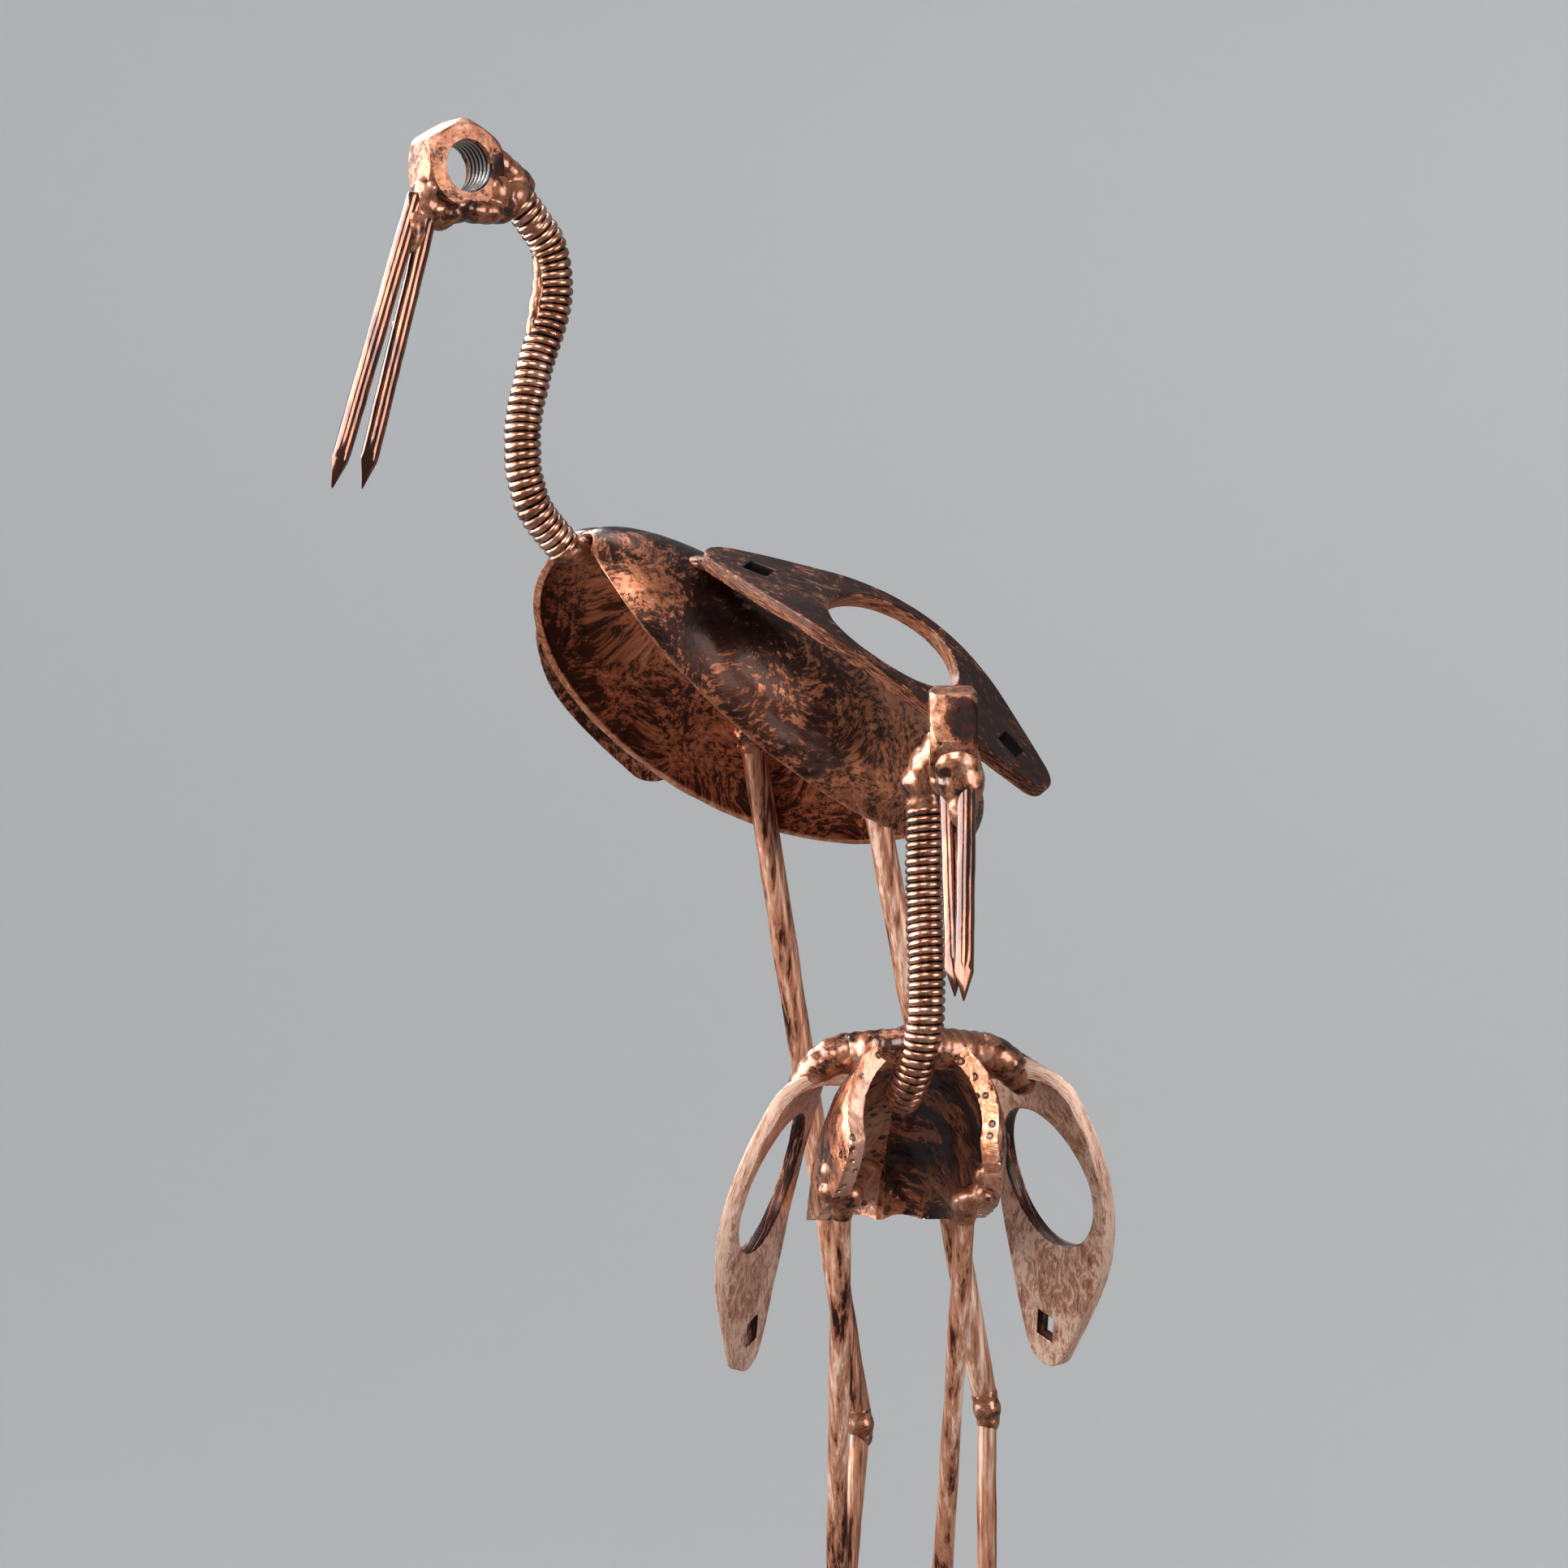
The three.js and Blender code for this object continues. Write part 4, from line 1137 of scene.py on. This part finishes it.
def mark_wing(plate, outlines, sizes, shape):
    """Stores how near each point is to a border and how thickly the copper lies, with painted shade and light
    in the holes, and unrolls the faces
    """
    base, under, rubbed, hole, square_hole_shade = shape["copper"]
    thick, hole_radius = sizes.wing_thickness / MM, sizes.wing_hole / MM / 2
    edge = plate.data.attributes.new("edge", "FLOAT", "POINT")
    cover = plate.data.attributes.new("cover", "FLOAT", "POINT")
    borders = [(a, b) for outline in outlines for a, b in zip(outline, outline[1:] + outline[:1])]
    squares = square_holes(sizes, shape["tip_inset"])
    for i, point in enumerate(plate.data.vertices):
        distance = border_distance(point.co.xy, borders)
        edge.data[i].value = rubbed * max(0.0, 1 - distance / WING["rubbed_width"])
        cover.data[i].value = base - under * point.co.z / (thick / 2)
        square = min(max(abs(point.co.x - middle), abs(point.co.y)) for middle in squares)
        # Painted shade on the hole walls, but a little painted light in the tall crane's round hole
        if point.co.xy.length < hole_radius + WING["rim_reach"]:
            cover.data[i].value += hole
        elif square < WING["square_reach"]:
            cover.data[i].value += square_hole_shade
    flat = plate.data.uv_layers.active or plate.data.uv_layers.new(name="flat")
    unit = WING["pattern_unit"]
    for loop in plate.data.loops:
        place = plate.data.vertices[loop.vertex_index].co
        shift = WING["underside"] if place.z < 0 else 0
        flat.data[loop.index].uv = (place.x / unit, place.y / unit + shift)


def border_distance(place, borders):
    """How far a place is from the nearest of many straight borders"""
    best = 1e9
    for a, b in borders:
        run = b - a
        share = max(0.0, min(1.0, (place - a).dot(run) / run.length_squared)) if run.length_squared else 0
        best = min(best, (place - a - run * share).length_squared)
    return math.sqrt(best)


def wing_bow(s, half, shape, fold=None):
    """Where the bent plate's top face runs, at a distance s from its middle: x, height and slope"""
    reach = WING["bowed"]
    radius = reach / (math.radians(shape["bow"]) / 2)
    bowed = max(-reach, min(reach, s))
    angle, rest = bowed / radius, s - bowed
    place = Vector((radius * math.sin(angle) + rest * math.cos(angle),
                    radius * (math.cos(angle) - 1) - rest * math.sin(angle)))
    fold = math.radians(shape["fold"]) if fold is None else fold
    over = -s - (half - shape["tab"])
    if over <= 0 or fold == 0:
        return place, -angle
    start, slope = wing_bow(s + over, half, shape, 0)
    rolled = fold * min(1, over / shape["turn"])
    curl, beyond = shape["turn"] / fold, max(0, over - shape["turn"])
    run = curl * math.sin(rolled) + beyond * math.cos(rolled)
    dip = curl * (1 - math.cos(rolled)) + beyond * math.sin(rolled)
    cos, sin = math.cos(slope), math.sin(slope)
    return start + Vector((-cos * run + sin * dip, -sin * run - cos * dip)), slope + rolled


def bent_wing(flat, crane, side, sizes):
    """A copy of the flat plate, bowed, folded at its root and held at the shoulder"""
    plate = duplicate(flat)
    half, thick = sizes.wing_length / MM / 2, sizes.wing_thickness / MM
    for point in plate.data.vertices:
        x, y, z = point.co
        place, slope = wing_bow(x, half, crane["wing_shape"])
        z -= thick / 2
        point.co = (place.x - z * math.sin(slope), y, place.y + z * math.cos(slope))
    heart, along, across = (Vector(item) for item in crane["wings"][side])
    along.normalize()
    outward = along.cross(across).normalized()
    basis = Matrix((along, outward.cross(along), outward)).transposed().to_4x4()
    put(plate, Matrix.Translation(heart) @ basis)
    if side == "right":
        for point in plate.data.vertices:
            point.co.y = -point.co.y
        pick(plate, "polygons", whole)
        bpy.ops.mesh.flip_normals()
        only(plate)
    roughen(plate, 16, 0.5)
    return plate


class STATUE_OT_wing_plates(bpy.types.Operator):
    """Cut one wing plate flat, then bend and place its four copies"""
    bl_idname = "statue.wing_plates"
    bl_label = "Wing plates"

    def execute(self, context):
        sizes = context.scene.crane_sizes
        for crane in CRANES:
            flat = flat_wing(sizes, crane["wing_shape"])
            for side, _ in SIDES:
                plate = bent_wing(flat, crane, side, sizes)
                deliver(plate, crane, side + "_wing_plate", wing_paint(crane), 35)
            bpy.data.objects.remove(flat)
        return {"FINISHED"}


# Legs and feet

ROD_LUMPS = ((22, 0.9), (5, 0.25))


class STATUE_OT_leg_rods(bpy.types.Operator):
    """Cut the rods of the four legs"""
    bl_idname = "statue.leg_rods"
    bl_label = "Leg rods"

    def execute(self, context):
        for crane in CRANES:
            wide, thin = crane["leg_radii"]
            for side, _ in SIDES:
                hip, knee, foot = crane["legs"][side]
                ankle = (*foot, PLATE["thickness"] + GAP + FOOT["radius"] + FOOT["lift"])
                for part, ends, radius in (("thigh", (knee, hip), wide), ("shank", (ankle, knee), thin)):
                    bar = rod(*ends, radius)
                    for size, strength in ROD_LUMPS:
                        roughen(bar, size, strength)
                    deliver(bar, crane, f"{side}_{part}", rod_paint(), 40)
        return {"FINISHED"}


class STATUE_OT_feet(bpy.types.Operator):
    """Weld the four feet from short rods"""
    bl_idname = "statue.feet"
    bl_label = "Feet"

    def execute(self, context):
        for crane in CRANES:
            for side, _ in SIDES:
                x, y = crane["legs"][side][2]
                radius = FOOT["radius"]
                low = PLATE["thickness"] + radius
                ankle = Vector((x, y, low + FOOT["lift"]))
                toes = [(turn * FOOT["spread"], 1) for turn in (-1, 0, 1)] + [(180, FOOT["back_toe"])]
                parts = [ball(ankle, (radius * FOOT["ankle"],) * 3)]
                for turn, share in toes:
                    angle, reach = math.radians(turn), FOOT["length"] * share
                    tip = Vector((x + reach * math.cos(angle), y + reach * math.sin(angle), low))
                    parts.append(rod(ankle, tip, radius * FOOT["toe"]))
                    parts.append(ball(tip, (radius, radius, radius * FOOT["tip"])))
                foot = fuse(parts, voxel=0.7, lumps=0.4)
                deliver(foot, crane, side + "_foot", rod_paint(), 60)
        return {"FINISHED"}


class STATUE_OT_stand_plate(bpy.types.Operator):
    """Cut the low plate that carries both cranes"""
    bl_idname = "statue.stand_plate"
    bl_label = "Stand plate"

    def execute(self, context):
        thick = PLATE["thickness"]
        only()
        bpy.ops.mesh.primitive_cube_add(size=1)
        plate = bpy.context.object
        size = Matrix.Diagonal((PLATE["width"], PLATE["depth"], thick, 1))
        put(plate, Matrix.Translation((0, 0, thick / 2)) @ size)
        pick(plate, "edges", rises(plate, 1))
        bpy.ops.mesh.bevel(offset=PLATE["corner"], segments=12)
        modify(plate, "BEVEL", width=1.0, segments=3, limit_method="ANGLE", angle_limit=math.radians(60))
        deliver(plate, None, "stand_plate", plate_paint(), 35)
        return {"FINISHED"}


# The studio, in metres

# Each light is its name, place, aim, size, colour and what it reaches
LIGHTS = (
    ("key", (-1.8, -0.1, 0.95), (0, 0, 0.45), (2.6, 1.6), (1, 0.99, 0.98), "not the room"),
    ("fill", (1.5, -1.1, 0.55), (0, 0, 0.42), (1.0, 1.2), (1, 1, 1), "not the room"),
    ("back", (-0.9, 1.5, 1.5), (0, 0, 0.45), (0.9, 0.9), (1, 1, 1), "not the room"),
    ("top", (-0.2, 0.5, 2.2), (0, 0, 0.4), (1.2, 1.2), (1, 1, 1), "everything"),
    ("front", (-0.4, -1.7, 1.7), (0, 0, 0.4), (1.0, 1.0), (1, 1, 1), "everything"),
    ("low", (-0.8, -1.6, 0.15), (-0.04, 0, 0.44), (0.6, 0.4), (1, 1, 1), "hollows"),
    ("wall", (1.1, -0.6, 2.4), (0.5, 2.4, 0.5), (1.6, 1.6), (1, 1, 1), "room"),
)
AIR = {"colour": (0.8, 0.83, 0.85, 1), "strength": 0.18}
CAMERA = {"place": (-0.035, -1.82, 0.43), "lens": 115.66, "sensor": 36, "reach": 20}
ROOM = {"floor": 0.6, "bend": 2.6, "steps": 24, "sides": 96, "wall": 1.2}
# The paper's tones are painted shade low down and on the left, and painted light high up and on the right
PAPER = {"low": -0.2, "high": 1.3, "slant": 0.1, "tones": (0.8, 1.25), "roughness": 0.95}


def soft_light(name, place, aim, size, colour, power):
    """A soft light that shines from a place to an aim and can't be seen itself"""
    only()
    bpy.ops.object.light_add(type="AREA", location=place)
    lamp = bpy.context.object
    lamp.name = name + " light"
    lamp.data.shape = "RECTANGLE"
    lamp.data.size, lamp.data.size_y = size
    lamp.data.energy = power
    lamp.data.color = colour
    lamp.rotation_euler = (Vector(aim) - Vector(place)).to_track_quat("-Z", "Y").to_euler()
    lamp.visible_camera = False
    return lamp


def shine_on(lamp, pieces, only_these):
    """Lets a light reach only some pieces, or all pieces but these"""
    group = bpy.data.collections.new(lamp.name + " pieces")
    for piece in pieces:
        group.objects.link(piece)
    for member in group.collection_objects:
        member.light_linking.link_state = "INCLUDE" if only_these else "EXCLUDE"
    lamp.light_linking.receiver_collection = group


def paper(colour):
    """Backdrop paper with painted shade, darker towards the floor and the left, and clear when seen from its
    back
    """
    material = bpy.data.materials.new("backdrop paper")
    material.use_nodes = True
    shader = material.node_tree.nodes["Principled BSDF"]
    sheet = Sheet(material.node_tree)
    spot = sheet.add("SeparateXYZ", {"Vector": sheet.add("TexCoord").outputs["Object"]}).outputs
    # Painted shade and light: darker towards the floor and the left, lighter up and to the right
    height = sheet.reckon("MULTIPLY_ADD", spot["X"], PAPER["slant"], spot["Z"])
    low, high = ((*(channel * share for channel in colour), 1) for share in PAPER["tones"])
    tone = sheet.mix(sheet.mask(height, PAPER["low"], PAPER["high"]), low, high)
    sheet.feed(tone, shader.inputs["Base Color"])
    back = sheet.add("NewGeometry").outputs["Backfacing"]
    sheet.feed(sheet.reckon("SUBTRACT", 1.0, back), shader.inputs["Alpha"])
    shader.inputs["Roughness"].default_value = PAPER["roughness"]
    return material


def backdrop(colour):
    """A round floor that curves up into a wall on every side, with no line where they meet"""
    floor, bend, steps = ROOM["floor"], ROOM["bend"], ROOM["steps"]
    only()
    bpy.ops.mesh.primitive_circle_add(vertices=ROOM["sides"], radius=floor, fill_type="NGON")
    room = bpy.context.object
    bpy.ops.object.mode_set(mode="EDIT")
    bpy.ops.mesh.select_all(action="SELECT")
    radius = floor
    for i in range(1, steps + 1):
        before, after = (math.pi / 2 * k / steps for k in (i - 1, i))
        wide = floor + bend * math.sin(after)
        rise = bend * (math.cos(before) - math.cos(after))
        bpy.ops.mesh.extrude_region_move(TRANSFORM_OT_translate={"value": (0, 0, rise)})
        bpy.ops.transform.resize(value=(wide / radius, wide / radius, 1))
        radius = wide
    bpy.ops.mesh.extrude_region_move(TRANSFORM_OT_translate={"value": (0, 0, ROOM["wall"])})
    bpy.ops.mesh.delete(type="ONLY_FACE")
    only(room)
    pick(room, "edges", lambda edge: all(room.data.vertices[i].co.z < 0.001 for i in edge.vertices))
    bpy.ops.mesh.edge_face_add()
    pick(room, "polygons", whole)
    bpy.ops.mesh.normals_make_consistent(inside=True)
    only(room)
    if room.data.polygons[-1].normal.z < 0:
        pick(room, "polygons", whole)
        bpy.ops.mesh.flip_normals()
        only(room)
    bpy.ops.object.shade_smooth()
    room.name = "backdrop"
    room.visible_glossy = False
    room.data.materials.append(paper(colour))
    return room


class STATUE_OT_studio(bpy.types.Operator):
    """Set up the backdrop, the lights and the camera"""
    bl_idname = "statue.studio"
    bl_label = "Studio"

    def execute(self, context):
        scene = context.scene
        studio = scene.crane_studio
        room = backdrop(studio.backdrop)
        hollows = [piece for piece in scene.objects
                   if "body_shell" in piece.name and "tall_crane_left" not in piece.name]
        reached = {"not the room": ([room], False), "room": ([room], True), "hollows": (hollows, True)}
        for name, *settings, reach in LIGHTS:
            lamp = soft_light(name, *settings, getattr(studio, name + "_power"))
            if reach in reached:
                shine_on(lamp, *reached[reach])
        world = bpy.data.worlds.new("studio air")
        scene.world = world
        world.use_nodes = True
        air = world.node_tree.nodes["Background"].inputs
        air["Color"].default_value = AIR["colour"]
        air["Strength"].default_value = AIR["strength"]
        only()
        bpy.ops.object.camera_add(location=CAMERA["place"], rotation=(math.pi / 2, 0, 0))
        camera = context.object
        camera.data.sensor_width = CAMERA["sensor"]
        camera.data.lens = CAMERA["lens"]
        camera.data.clip_end = CAMERA["reach"]
        scene.camera = camera
        scene.view_settings.view_transform = "Standard"
        return {"FINISHED"}


class STATUE_PT_panel(bpy.types.Panel):
    """Lists the settings and the steps"""
    bl_idname = "STATUE_PT_panel"
    bl_label = "Garden cranes"
    bl_space_type = "VIEW_3D"
    bl_region_type = "UI"
    bl_category = "Cranes"

    def draw(self, context):
        layout = self.layout
        for settings in (context.scene.crane_sizes, context.scene.crane_paint, context.scene.crane_studio):
            box = layout.box()
            for name in settings.bl_rna.properties.keys():
                if name not in ("rna_type", "name"):
                    box.prop(settings, name)
        for step in STEPS:
            layout.operator(step.bl_idname)


STEPS = (
    STATUE_OT_stand_plate, STATUE_OT_leg_rods, STATUE_OT_feet, STATUE_OT_body_shells, STATUE_OT_wing_plates,
    STATUE_OT_neck_springs, STATUE_OT_head_nuts, STATUE_OT_beak_nails, STATUE_OT_weld_beads, STATUE_OT_studio,
)
CLASSES = (CraneSizes, PaintColours, StudioSettings, *STEPS, STATUE_PT_panel)


def register():
    for item in CLASSES:
        bpy.utils.register_class(item)
    bpy.types.Scene.crane_sizes = bpy.props.PointerProperty(type=CraneSizes)
    bpy.types.Scene.crane_paint = bpy.props.PointerProperty(type=PaintColours)
    bpy.types.Scene.crane_studio = bpy.props.PointerProperty(type=StudioSettings)


def unregister():
    del bpy.types.Scene.crane_sizes, bpy.types.Scene.crane_paint, bpy.types.Scene.crane_studio
    for item in reversed(CLASSES):
        bpy.utils.unregister_class(item)


def main():
    register()
    for step in STEPS:
        group, name = step.bl_idname.split(".")
        getattr(getattr(bpy.ops, group), name)()


if __name__ == "__main__":
    main()
